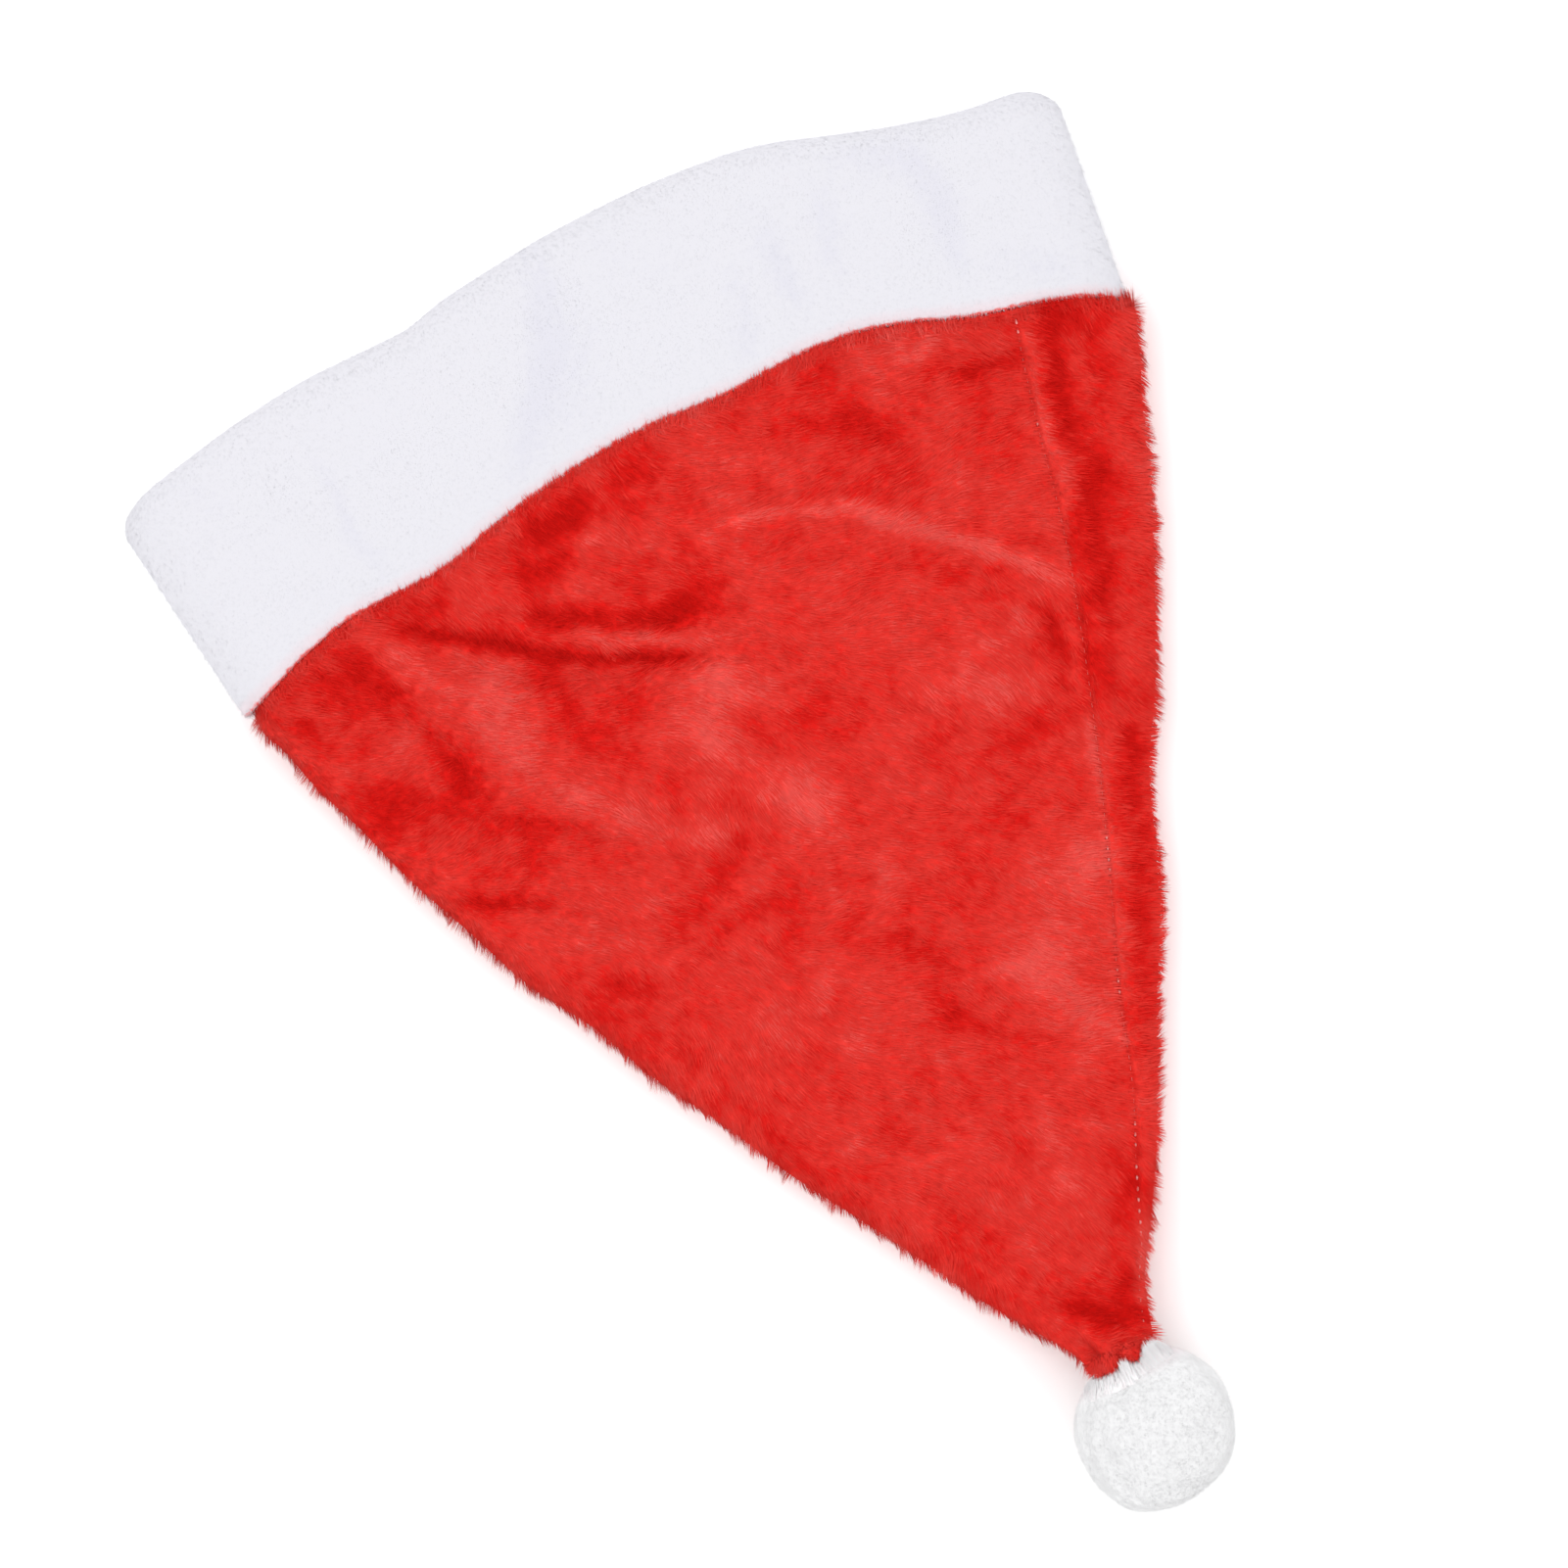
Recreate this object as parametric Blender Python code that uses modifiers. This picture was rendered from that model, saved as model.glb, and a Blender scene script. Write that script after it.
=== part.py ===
"""A plush santa hat that lies flat: a red cone, a white folded brim round its mouth and a white pompom.

The hat lies on its back panel with the mouth towards +Y and the pompom towards -Y. The origin is under the
middle of its box, at the height of the surface that it lies on. Lengths in the tables are in millimetres.
"""

import math
from collections import namedtuple

import bmesh
import bpy
import numpy as np
from mathutils import Vector
from mathutils.kdtree import KDTree

MM = 0.001
FIT_GAP = 0.3  # clearance between two pieces that meet

# The brim: a padded band, flattened as it lies, that holds the edge of the crown between its two layers.
RIM_HALF_WIDTH = 144.5
JOIN_HALF_WIDTH = 136.75
JOIN_CENTRE_X = 1.75
BRIM_SIDE = 14.0  # half the height of the brim at its two folded sides
BRIM_SWELL = 3.0  # how much higher the middle of the brim is than its sides
OUTER_LAYER = 3.0
INNER_LAYER = 2.5
SLOT_DEPTH = 12.3

# The crown: one panel of plush cloth.
CLOTH = 2.5
EDGE_GAP = 0.8  # between the cut edge of the crown and the bottom of the slot that holds it
EDGE_IN_BRIM = SLOT_DEPTH - EDGE_GAP
CROWN_DEPTH = OUTER_LAYER + FIT_GAP  # from the outer face of the brim in to the outer face of the crown
INNER_SLACK = 0.5  # more room on the crown's inner side, where both pieces turn tightly round the sides
SLOT_WIDTH = CLOTH + 2 * FIT_GAP + INNER_SLACK
BRIM_THICKNESS = OUTER_LAYER + SLOT_WIDTH + INNER_LAYER
SEAM_DEPTH = 1.2
SEAM_REACH = 3.0  # half the width of the groove along the seam
PLEATS = 7  # gathers round the tip
PLEAT_HEIGHT = 0.7
PLEATS_FROM_Y = -122.0
PLEATS_FULL_Y = -152.0
CAP_SCALES = ((0.80, 0.9), (0.45, 1.4))  # share of the last section, and how far past it

# The pompom: a ball of tufts, pressed a little flat where it rests and where the crown is sewn on.
POMPOM_CENTRE = (11.6, -175.5, 21.8)
POMPOM_RADIUS = 23.0
TUFT_DEPTH = 1.8
TUFT_LEAN = 0.6
TUFT_SWIRL_AXIS = (0.3, 0.9, 0.2)
SAME_POINT = 0.01  # how close two points of a ball of radius 1 are when they are the same one

# Faces round the loops and along the crown.
SEGMENTS_BEFORE_SEAM = 5
SEGMENTS_AFTER_SEAM = 21
SEGMENTS_UNDER = 20
SIDE_CROWDING = 1.2  # over 1, the points stand closer together at the round sides
UNDER_CROWDING = 0.35
NOSE_SEGMENTS = 6
OUTER_RINGS_FROM_JOIN = (28.0, 14.0)
OUTER_RING_FROM_RIM = 18.0
INNER_RING_FROM_JOIN = 25.0

# The two edges of the brim as seen from above, from the left side to the right: the rim of the mouth and
# the line where the crown comes out. across runs from -1 to 1.
BrimLine = namedtuple("BrimLine", "across rim join")
BRIM_LINES = (
    BrimLine(-1.00, 175.0, 113.0),
    BrimLine(-0.93, 179.8, 116.0),
    BrimLine(-0.83, 183.3, 121.3),
    BrimLine(-0.69, 187.3, 125.7),
    BrimLine(-0.52, 190.0, 126.5),
    BrimLine(-0.35, 190.3, 132.3),
    BrimLine(-0.24, 193.8, 135.3),
    BrimLine(-0.10, 196.5, 137.7),
    BrimLine(0.00, 198.0, 138.6),
    BrimLine(0.17, 198.8, 137.6),
    BrimLine(0.35, 197.5, 138.9),
    BrimLine(0.45, 195.0, 138.1),
    BrimLine(0.55, 190.5, 135.1),
    BrimLine(0.69, 184.5, 128.5),
    BrimLine(0.83, 180.3, 124.1),
    BrimLine(0.93, 178.8, 119.5),
    BrimLine(1.00, 174.0, 114.5),
)

# Sections across the crown, from the gathered tip to the brim. y is where the section meets the two side
# folds, bow how far its middle runs ahead of them, low and top its lowest and highest point, and side half
# the height of its folded sides.
Section = namedtuple("Section", "y left right bow low top side")
CROWN_SECTIONS = (
    Section(-154.0, 3.2, 20.8, 0.0, 11.0, 29.4, 9.2),
    Section(-151.5, 2.0, 21.5, 0.0, 10.2, 29.2, 9.5),
    Section(-146.5, -0.5, 23.0, 0.5, 8.8, 28.0, 9.5),
    Section(-136.5, -8.0, 26.8, 1.2, 5.6, 25.6, 9.3),
    Section(-123.5, -17.0, 35.2, 2.5, 2.6, 23.4, 9.0),
    Section(-108.5, -26.0, 44.0, 4.0, 0.6, 22.2, 8.6),
    Section(-88.5, -38.5, 53.8, 6.0, 0.0, 22.0, 8.5),
    Section(-68.5, -51.0, 63.0, 7.5, 0.0, 22.4, 8.5),
    Section(-48.5, -61.8, 73.3, 9.0, 0.0, 23.0, 8.5),
    Section(-28.5, -73.8, 81.3, 10.5, 0.0, 23.6, 8.5),
    Section(-8.5, -83.3, 88.7, 12.5, 0.0, 24.2, 8.5),
    Section(11.5, -95.5, 99.8, 14.5, 0.0, 24.8, 8.5),
    Section(31.5, -104.0, 109.2, 16.5, 0.0, 25.4, 8.5),
    Section(51.5, -112.8, 117.8, 18.5, 0.0, 26.0, 8.5),
    Section(71.5, -119.8, 125.3, 20.5, 0.0, 26.5, 8.8),
    Section(86.5, -125.8, 130.8, 22.5, 0.0, 27.0, 9.2),
    Section(99.5, -129.3, 136.0, 24.0, 1.2, 27.4, 9.8),
    Section(107.5, -132.4, 137.6, 24.8, 2.4, 27.6, 10.4),
    Section(113.5, -131.7, 135.2, 25.0, 3.3, 27.7, 10.7),
)
LOFT_Y = (
    108.5, 101.5, 93.5, 84.5, 74.5, 64.5, 54.5, 44.5, 33.5, 21.5, 9.5, -2.5, -14.5, -26.5, -38.5, -50.5,
    -62.5, -74.5, -86.5, -98.5, -109.5, -119.5, -128.5, -136.5, -143.0, -148.0, -151.5, -154.0,
)
RIPPLE_REACH = 45.0  # how far down the crown the waves of the join line fade out

# The side seam as seen from above.
SeamPoint = namedtuple("SeamPoint", "y x")
SEAM = (
    SeamPoint(-133.5, 28.0),
    SeamPoint(-112.5, 36.0),
    SeamPoint(-85.5, 47.0),
    SeamPoint(-60.5, 54.5),
    SeamPoint(-28.5, 66.5),
    SeamPoint(1.5, 77.0),
    SeamPoint(33.5, 87.0),
    SeamPoint(63.5, 95.0),
    SeamPoint(96.5, 101.5),
    SeamPoint(123.5, 108.0),
)
SEAM_ANGLE_LIMITS = (math.radians(22), math.radians(45))
SEAM_STEP_LIMIT = math.radians(6)
SEAM_FIRST_GUESS = 0.8  # about where the seam lies across the crown

# Folds and dents in the upper panel: a curve from start by way of middle to end, how far the cloth rises
# there, or sinks where negative, and how wide the fold is.
Fold = namedtuple("Fold", "name start middle end height width")
FOLDS = (
    Fold("long crease", (-90, 124), (-55, 89), (-12, 75), -3.6, 6),
    Fold("swell under the long crease", (-84, 106), (-72, 84), (-38, 64), 2.4, 13),
    Fold("second crease", (-95, 108), (-94, 62), (-48, 36), -2.8, 7),
    Fold("left side dent", (-120, 106), (-113, 76), (-99, 60), -1.6, 8),
    Fold("left notch", (-101, 38), (-92, 31), (-80, 28), -1.4, 5),
    Fold("long ridge", (14, 103), (54, 90), (90, 52), 2.6, 6),
    Fold("hollow above the ridge", (18, 108), (32, 103), (44, 96), -1.6, 6),
    Fold("dent under the brim", (49, 126), (57, 113), (68, 102), -2.2, 7),
    Fold("dent by the seam", (80, 118), (94, 115), (105, 111), -2.0, 5),
    Fold("hollow right of the seam", (121, 119), (114, 102), (108, 78), -2.4, 7),
    Fold("fall right of the seam", (107, 72), (96, 24), (63, -52), -1.8, 8),
    Fold("pinch left of the seam", (82, 48), (81, 37), (78, 26), -1.6, 5),
    Fold("wide dent in the middle", (-24, 98), (-12, 90), (2, 88), -2.0, 10),
    Fold("dent near the long crease", (-53, 118), (-44, 110), (-42, 97), -2.0, 8),
    Fold("dimple", (-36, 20), (-27, 24), (-19, 28), -1.6, 7),
    Fold("lower dimple", (-56, 9), (-48, 9), (-39, 12), -1.3, 7),
    Fold("middle swell", (-32, 54), (-18, 50), (-7, 68), 1.6, 9),
    Fold("right swell", (42, 40), (56, 38), (70, 46), 1.6, 11),
    Fold("long soft valley", (2, -18), (17, -45), (10, -80), -1.9, 8),
    Fold("lower right swell", (40, -18), (47, -50), (38, -80), 1.8, 11),
    Fold("lower right valley", (37, -84), (37, -102), (26, -120), -1.9, 6),
    Fold("lower left dent", (-18, -91), (-13, -99), (-9, -108), -1.5, 6),
    Fold("left edge dent", (-77, 1), (-70, -1), (-63, -5), -1.3, 6),
    Fold("left lower dent", (-61, -27), (-58, -36), (-52, -47), -1.3, 7),
    Fold("crease at the gathers", (2, -134), (12, -141), (22, -145), -2.2, 5),
    Fold("brim wave left", (-34, 142), (-26, 158), (-14, 176), -1.2, 12),
    Fold("brim swell left", (-84, 146), (-80, 156), (-76, 168), 1.0, 16),
    Fold("brim swell middle", (14, 152), (18, 162), (22, 174), 1.0, 18),
    Fold("brim wave right", (98, 142), (100, 156), (104, 168), -1.2, 12),
)
FOLD_STEPS = 16
FOLD_END_TURN = 0.08  # how near its ends a fold dies away

RED_PLUSH = (0.70, 0.032, 0.025)
WHITE_PLUSH = (0.84, 0.83, 0.88)
PLUSH_ROUGHNESS = 0.9


def curve_through(knots, values):
    """A smooth curve through the values that doesn't overshoot between two of them."""
    knots = np.asarray(knots, float)
    values = np.asarray(values, float)
    steps = np.diff(knots)
    slopes = np.diff(values) / steps
    tangents = np.concatenate([slopes[:1], np.zeros(len(knots) - 2), slopes[-1:]])
    same_way = slopes[:-1] * slopes[1:] > 0
    together = np.where(same_way, slopes[:-1] + slopes[1:], 1.0)
    tangents[1:-1] = np.where(same_way, 2 * slopes[:-1] * slopes[1:] / together, 0.0)

    def at(where):
        where = np.clip(where, knots[0], knots[-1])
        i = np.clip(np.searchsorted(knots, where, side="right") - 1, 0, len(steps) - 1)
        t = (where - knots[i]) / steps[i]
        start = (1 + 2 * t) * (1 - t) ** 2 * values[i] + t * (1 - t) ** 2 * steps[i] * tangents[i]
        end = t**2 * (3 - 2 * t) * values[i + 1] + t**2 * (t - 1) * steps[i] * tangents[i + 1]
        return start + end

    return at


def columns_of(rows, key):
    """One smooth curve for each other column of a table, over its key column."""
    knots = [getattr(row, key) for row in rows]
    names = [name for name in rows[0]._fields if name != key]
    return {name: curve_through(knots, [getattr(row, name) for row in rows]) for name in names}


brim_line = columns_of(BRIM_LINES, "across")
crown_section = columns_of(CROWN_SECTIONS, "y")
seam_line = columns_of(SEAM, "y")


def fold_height(x, y):
    """How far the folds raise the upper panel over each point of the plan."""
    total = np.zeros(np.shape(x))
    along = np.linspace(0.0, 1.0, FOLD_STEPS)
    for fold in FOLDS:
        start, middle, end = (np.array(point, float) for point in (fold.start, fold.middle, fold.end))
        bend = 2 * middle - (start + end) / 2
        t = along[:, None]
        path = (1 - t) ** 2 * start + 2 * t * (1 - t) * bend + t**2 * end
        strength = np.sqrt(np.sin(math.pi * (FOLD_END_TURN + (1 - 2 * FOLD_END_TURN) * along)))
        away = np.hypot(x[..., None] - path[:, 0], y[..., None] - path[:, 1])
        total += fold.height * (strength * np.exp(-((away / fold.width) ** 2))).max(axis=-1)
    return total


def loop_angles(seam_angle, seam_step):
    """Angles round a flattened loop, from the right side over the top: closer together at the round sides."""
    before = np.linspace(0.0, 1.0, SEGMENTS_BEFORE_SEAM + 1) ** SIDE_CROWDING
    after = np.linspace(1.0, 0.0, SEGMENTS_AFTER_SEAM + 1) ** SIDE_CROWDING
    under = np.linspace(0.0, 2 * math.pi, SEGMENTS_UNDER + 1)[1:-1]
    return np.concatenate([
        before * (seam_angle - seam_step),
        [seam_angle],
        math.pi - after * (math.pi - seam_angle - seam_step),
        math.pi + (under - UNDER_CROWDING * np.sin(under)) / 2,
    ])


def side_rounding(angles, half_width, radius):
    """The height of a flattened loop at each angle, as a share of its height: 1 except on its round sides."""
    share = min(radius / half_width, 1.0)
    into_side = np.clip((np.abs(np.cos(angles)) - (1 - share)) / share, 0.0, 1.0)
    return np.sign(np.sin(angles)) * np.sqrt(np.maximum(1 - into_side**2, 0.0))


def seam_groove(angles, seam_angle, half_width):
    """How far the seam draws the cloth in, round the point where the section crosses it."""
    away = (angles - seam_angle) * half_width * math.sin(seam_angle)
    return SEAM_DEPTH * np.exp(-((2 * away / SEAM_REACH) ** 2))


def upper_share(rounding):
    """1 on the upper panel, 0 on the lower one, and in between up the round sides."""
    return np.clip(rounding, 0.0, 1.0) ** 2


def seam_angle_at(y, centre, half_width, bow):
    """The angle where the section that starts at y crosses the seam."""
    across = SEAM_FIRST_GUESS
    for _ in range(4):
        across = float(seam_line["x"](y + bow * (1 - across**2)) - centre) / half_width
        across = min(max(across, 0.0), 1.0)
    return min(max(math.acos(across), SEAM_ANGLE_LIMITS[0]), SEAM_ANGLE_LIMITS[1])


def brim_seam_angle():
    top = CROWN_SECTIONS[-1]
    return seam_angle_at(top.y, JOIN_CENTRE_X, JOIN_HALF_WIDTH, top.bow)


def step_at_seam(half_width, seam_angle):
    return min(SEAM_REACH / (half_width * math.sin(seam_angle)), SEAM_STEP_LIMIT)


def brim_loop(from_join, from_rim, depth):
    """One loop of points round the brim, this deep under its outer face.

    It lies from_join up from the join line, or from_rim down from the rim where from_join is None.
    """
    seam_angle = brim_seam_angle()
    angles = loop_angles(seam_angle, step_at_seam(JOIN_HALF_WIDTH, seam_angle))
    across = np.cos(angles) * (1 - depth / JOIN_HALF_WIDTH)
    rim = brim_line["rim"](across)
    join = brim_line["join"](across)
    width = rim - join
    share = from_join / width if from_join is not None else 1 - from_rim / width
    half_width = JOIN_HALF_WIDTH + share * (RIM_HALF_WIDTH - JOIN_HALF_WIDTH)
    centre = JOIN_CENTRE_X * (1 - share)
    y = join + share * width
    rounding = side_rounding(angles, JOIN_HALF_WIDTH - depth, BRIM_SIDE - depth)
    upper = upper_share(side_rounding(angles, JOIN_HALF_WIDTH, BRIM_SIDE))
    # Along the slot the folds keep the height that they have at the join, so that the crown fits in it.
    if from_join is not None and from_join <= SLOT_DEPTH:
        folds = fold_height(JOIN_CENTRE_X + JOIN_HALF_WIDTH * np.cos(angles), join)
    else:
        folds = fold_height(centre + half_width * np.cos(angles), y)
    swell = BRIM_SWELL * (1 - np.cos(angles) ** 2) + folds
    x = centre + (half_width - depth) * np.cos(angles)
    z = BRIM_SIDE + (BRIM_SIDE - depth) * rounding + upper * swell
    return np.column_stack([x, y, z])


def crown_section_at(y):
    return Section(y, *(float(crown_section[name](y)) for name in Section._fields[1:]))


def join_ripple(across, y):
    """How far the waves of the join line push the section that starts at y, fading down the crown."""
    top = CROWN_SECTIONS[-1]
    ripple = brim_line["join"](across) - (top.y + top.bow * (1 - across**2))
    return ripple * max(0.0, 1 - (top.y - y) / RIPPLE_REACH) ** 2


def crown_loop(y):
    """One loop of points round the crown, on its outer face."""
    section = crown_section_at(y)
    half_width = (section.right - section.left) / 2
    centre = (section.right + section.left) / 2
    seam_angle = seam_angle_at(y, centre, half_width, section.bow)
    angles = loop_angles(seam_angle, step_at_seam(half_width, seam_angle))
    across = np.cos(angles)
    x = centre + half_width * across
    plan_y = y + section.bow * (1 - across**2) + join_ripple(across, y)
    gathered = float(np.clip((PLEATS_FROM_Y - y) / (PLEATS_FROM_Y - PLEATS_FULL_Y), 0.0, 1.0))
    pleat = gathered * PLEAT_HEIGHT * np.cos(PLEATS * angles)
    relief = fold_height(x, plan_y) - seam_groove(angles, seam_angle, half_width)
    swell = (section.top - section.low - 2 * section.side) * (1 - across**2) + (1 - gathered) * relief
    rounding = side_rounding(angles, half_width, section.side)
    z = section.low + section.side * (1 + rounding) + upper_share(rounding) * swell
    return np.column_stack([x + pleat * across, plan_y, z + pleat * rounding])


def tip_loops(last):
    """Shrinking loops that close the tip to a small flat end."""
    middle = last.mean(axis=0)
    return [middle + (last - middle) * scale + (0.0, -past, 0.0) for scale, past in CAP_SCALES]


def loft(loops, closed_ring, cap_end):
    """Points and faces of a skin through loops that all have the same number of points."""
    count = len(loops[0])
    pairs = [(i, i + 1) for i in range(len(loops) - 1)]
    if closed_ring:
        pairs.append((len(loops) - 1, 0))
    faces = []
    for near, far in pairs:
        for j in range(count):
            k = (j + 1) % count
            faces.append((near * count + j, near * count + k, far * count + k, far * count + j))
    if cap_end:
        faces.append(tuple((len(loops) - 1) * count + j for j in range(count)))
    return np.concatenate(loops) * MM, faces


def mesh_object(name, points, faces, collection, material):
    mesh = bpy.data.meshes.new(name)
    mesh.from_pydata(points.tolist(), [], faces)
    mesh.validate()
    mesh.shade_smooth()
    obj = bpy.data.objects.new(name, mesh)
    collection.objects.link(obj)
    obj.data.materials.append(material)
    return obj


def plush(name, colour):
    material = bpy.data.materials.new(name)
    material.use_nodes = True
    shader = material.node_tree.nodes["Principled BSDF"]
    shader.inputs["Base Color"].default_value = (*colour, 1.0)
    shader.inputs["Roughness"].default_value = PLUSH_ROUGHNESS
    shader.inputs["Metallic"].default_value = 0.0
    return material


def make_crown(collection, material):
    """The red cone: an open skin with the cloth's thickness added inwards."""
    in_brim = [brim_loop(up, None, CROWN_DEPTH) for up in (EDGE_IN_BRIM, EDGE_IN_BRIM / 2, 0.0)]
    free = [crown_loop(y) for y in LOFT_Y]
    loops = in_brim + free + tip_loops(free[-1])
    points, faces = loft(loops, closed_ring=False, cap_end=True)
    crown = mesh_object("crown", points, faces, collection, material)
    thickness = crown.modifiers.new("cloth", "SOLIDIFY")
    thickness.thickness = CLOTH * MM
    thickness.offset = -1.0
    thickness.use_even_offset = True
    return crown


def brim_profile():
    """The section of the band as (from join, from rim, depth), round from the outer edge at the join."""
    outer_round = OUTER_LAYER / 2
    inner_round = INNER_LAYER / 2
    slot_floor = BRIM_THICKNESS - INNER_LAYER
    nose = BRIM_THICKNESS / 2
    profile = []
    for turn in np.linspace(-0.5, 0.5, 5) * math.pi:
        profile.append((outer_round * (1 - math.cos(turn)), None, outer_round * (1 + math.sin(turn))))
    profile.append((SLOT_DEPTH, None, OUTER_LAYER))
    profile.append((SLOT_DEPTH, None, slot_floor))
    for turn in np.linspace(-0.5, 0.5, 3) * math.pi:
        up = inner_round * (1 - math.cos(turn))
        profile.append((up, None, slot_floor + inner_round * (1 + math.sin(turn))))
    profile.append((INNER_RING_FROM_JOIN, None, BRIM_THICKNESS))
    for turn in np.linspace(0.5, -0.5, NOSE_SEGMENTS + 1) * math.pi:
        profile.append((None, nose * (1 - math.cos(turn)), nose * (1 + math.sin(turn))))
    profile.append((None, OUTER_RING_FROM_RIM, 0.0))
    return profile + [(up, None, 0.0) for up in OUTER_RINGS_FROM_JOIN]


def make_brim(collection, material):
    """The white band: its section carried round the mouth as a closed ring."""
    loops = [brim_loop(*place) for place in brim_profile()]
    points, faces = loft(loops, closed_ring=True, cap_end=False)
    return mesh_object("brim", points, faces, collection, material)


def tufted_ball():
    """A ball of three-sided tufts: dimples at the points of a coarser ball, leaning points between them."""
    coarse = bmesh.new()
    bmesh.ops.create_icosphere(coarse, subdivisions=3, radius=1.0)
    dimples = KDTree(len(coarse.verts))
    for i, vertex in enumerate(coarse.verts):
        dimples.insert(vertex.co, i)
    dimples.balance()
    coarse.free()
    ball = bmesh.new()
    bmesh.ops.create_icosphere(ball, subdivisions=4, radius=1.0)
    for vertex in ball.verts:
        out = vertex.co.normalized()
        is_dimple = dimples.find(vertex.co)[2] < SAME_POINT
        radius = POMPOM_RADIUS - (TUFT_DEPTH if is_dimple else 0.0)
        lean = Vector((0.0, 0.0, 0.0)) if is_dimple else out.cross(Vector(TUFT_SWIRL_AXIS)) * TUFT_LEAN
        vertex.co = Vector(POMPOM_CENTRE) + out * radius + lean
        vertex.co.z = max(vertex.co.z, 0.0)
        vertex.co *= MM
    return ball


def make_pompom(collection, cutters, material):
    """The white ball, cut flat where the tip of the crown meets it."""
    ball = tufted_ball()
    mesh = bpy.data.meshes.new("pompom")
    ball.to_mesh(mesh)
    ball.free()
    mesh.shade_smooth()
    pompom = bpy.data.objects.new("pompom", mesh)
    collection.objects.link(pompom)
    pompom.data.materials.append(material)
    tip_end = CROWN_SECTIONS[0].y - CAP_SCALES[-1][1] - FIT_GAP
    side = 3 * POMPOM_RADIUS
    bpy.ops.mesh.primitive_cube_add(size=side * MM)
    cutter = bpy.context.object
    cutter.name = "pompom_seat"
    centre = (POMPOM_CENTRE[0], tip_end + side / 2, POMPOM_CENTRE[2])
    cutter.location = [length * MM for length in centre]
    for holder in cutter.users_collection:
        holder.objects.unlink(cutter)
    cutters.objects.link(cutter)
    cutter.hide_render = True
    cutter.display_type = "WIRE"
    seat = pompom.modifiers.new("seat for the crown", "BOOLEAN")
    seat.operation = "DIFFERENCE"
    seat.solver = "EXACT"
    seat.object = cutter
    return pompom


def clear_scene():
    for obj in list(bpy.data.objects):
        bpy.data.objects.remove(obj, do_unlink=True)


def new_collection(name):
    collection = bpy.data.collections.new(name)
    bpy.context.scene.collection.children.link(collection)
    return collection


def main():
    clear_scene()
    hat = new_collection("santa_hat")
    cutters = new_collection("cutters")
    cutters.hide_render = True
    red = plush("red_plush", RED_PLUSH)
    white = plush("white_plush", WHITE_PLUSH)
    make_crown(hat, red)
    make_brim(hat, white)
    make_pompom(hat, cutters, white)


main()
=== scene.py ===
"""The looks of a plush santa hat that lies flat: fine cloth surfaces, their pile, the seam's stitches, floor and light.

The cloth follows the same tables and functions as the solids, apart from the brim's edge beside the crown, which
lies a little lower under the pile. Lengths are in millimetres.
"""

import math
from collections import namedtuple

import bmesh
import bpy
import numpy as np
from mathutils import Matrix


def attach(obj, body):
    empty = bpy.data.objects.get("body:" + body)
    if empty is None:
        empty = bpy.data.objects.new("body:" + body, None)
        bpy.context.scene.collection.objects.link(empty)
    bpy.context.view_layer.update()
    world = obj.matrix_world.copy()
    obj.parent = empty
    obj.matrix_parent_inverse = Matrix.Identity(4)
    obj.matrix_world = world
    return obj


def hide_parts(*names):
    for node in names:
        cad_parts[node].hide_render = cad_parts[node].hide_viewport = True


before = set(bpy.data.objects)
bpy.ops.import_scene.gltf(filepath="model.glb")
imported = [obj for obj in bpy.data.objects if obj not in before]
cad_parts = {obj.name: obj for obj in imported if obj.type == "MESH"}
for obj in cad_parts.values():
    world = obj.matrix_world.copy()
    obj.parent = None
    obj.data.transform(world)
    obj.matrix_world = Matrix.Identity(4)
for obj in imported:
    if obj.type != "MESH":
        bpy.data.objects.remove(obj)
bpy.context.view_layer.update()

MM = 0.001


def table(row_type, *rows):
    """Rows with named columns."""
    return tuple(row_type(*row) for row in rows)


# The brim.
RIM_HALF_WIDTH = 144.5
JOIN_HALF_WIDTH = 136.75
JOIN_CENTRE_X = 1.75
BRIM_SIDE = 14.0
BRIM_SWELL = 3.0
OUTER_LAYER = 3.0
INNER_LAYER = 2.5
SLOT_DEPTH = 12.3
SLOT_WIDTH = 3.6
BRIM_THICKNESS = OUTER_LAYER + SLOT_WIDTH + INNER_LAYER

# The crown.
CLOTH = 2.5
EDGE_IN_BRIM = 11.5
CROWN_DEPTH = 3.3
SEAM_DEPTH = 1.6
SEAM_REACH = 1.5  # half the width of the groove along the seam
SEAM_FROM_Y = -135.0
SEAM_FADE = 30.0
RIDGE_HEIGHT = 1.0  # the turned edges of the cloth swell beside the seam
RIDGE_AWAY = 4.2
RIDGE_WIDTH = 2.4
PLEATS = 7
PLEAT_HEIGHT = 0.9
PLEATS_FROM_Y = -122.0
PLEATS_FULL_Y = -152.0
CAP_SCALES = ((0.80, 0.9), (0.45, 1.4))
JOIN_SWELL = 2.5  # the crown bulges up against the edge of the brim
JOIN_SWELL_REACH = 5.0
JOIN_SIDE_SWELL = 3.2  # on the side by the seam
PRESSED_PILE = 1.3  # the room that the pile needs between the cloth and what the hat lies on
CREASE_FADE = 12.0  # the creases and small dents fade out over this length beside the brim
# Small dents of the cloth: (height, size, seed).
CROWN_DENTS = ((0.55, 17.0, 3), (0.30, 8.0, 4))
BRIM_DENTS = ((0.8, 26.0, 5), (0.45, 11.0, 6))

# The pompom.
POMPOM_CENTRE = (11.6, -175.5, 21.8)
POMPOM_RADIUS = 23.0
POMPOM_CORE = 22.1
POMPOM_SEAT_Y = -155.7
POMPOM_LOWEST = 1.2
POMPOM_LUMPS = 0.35
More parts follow.
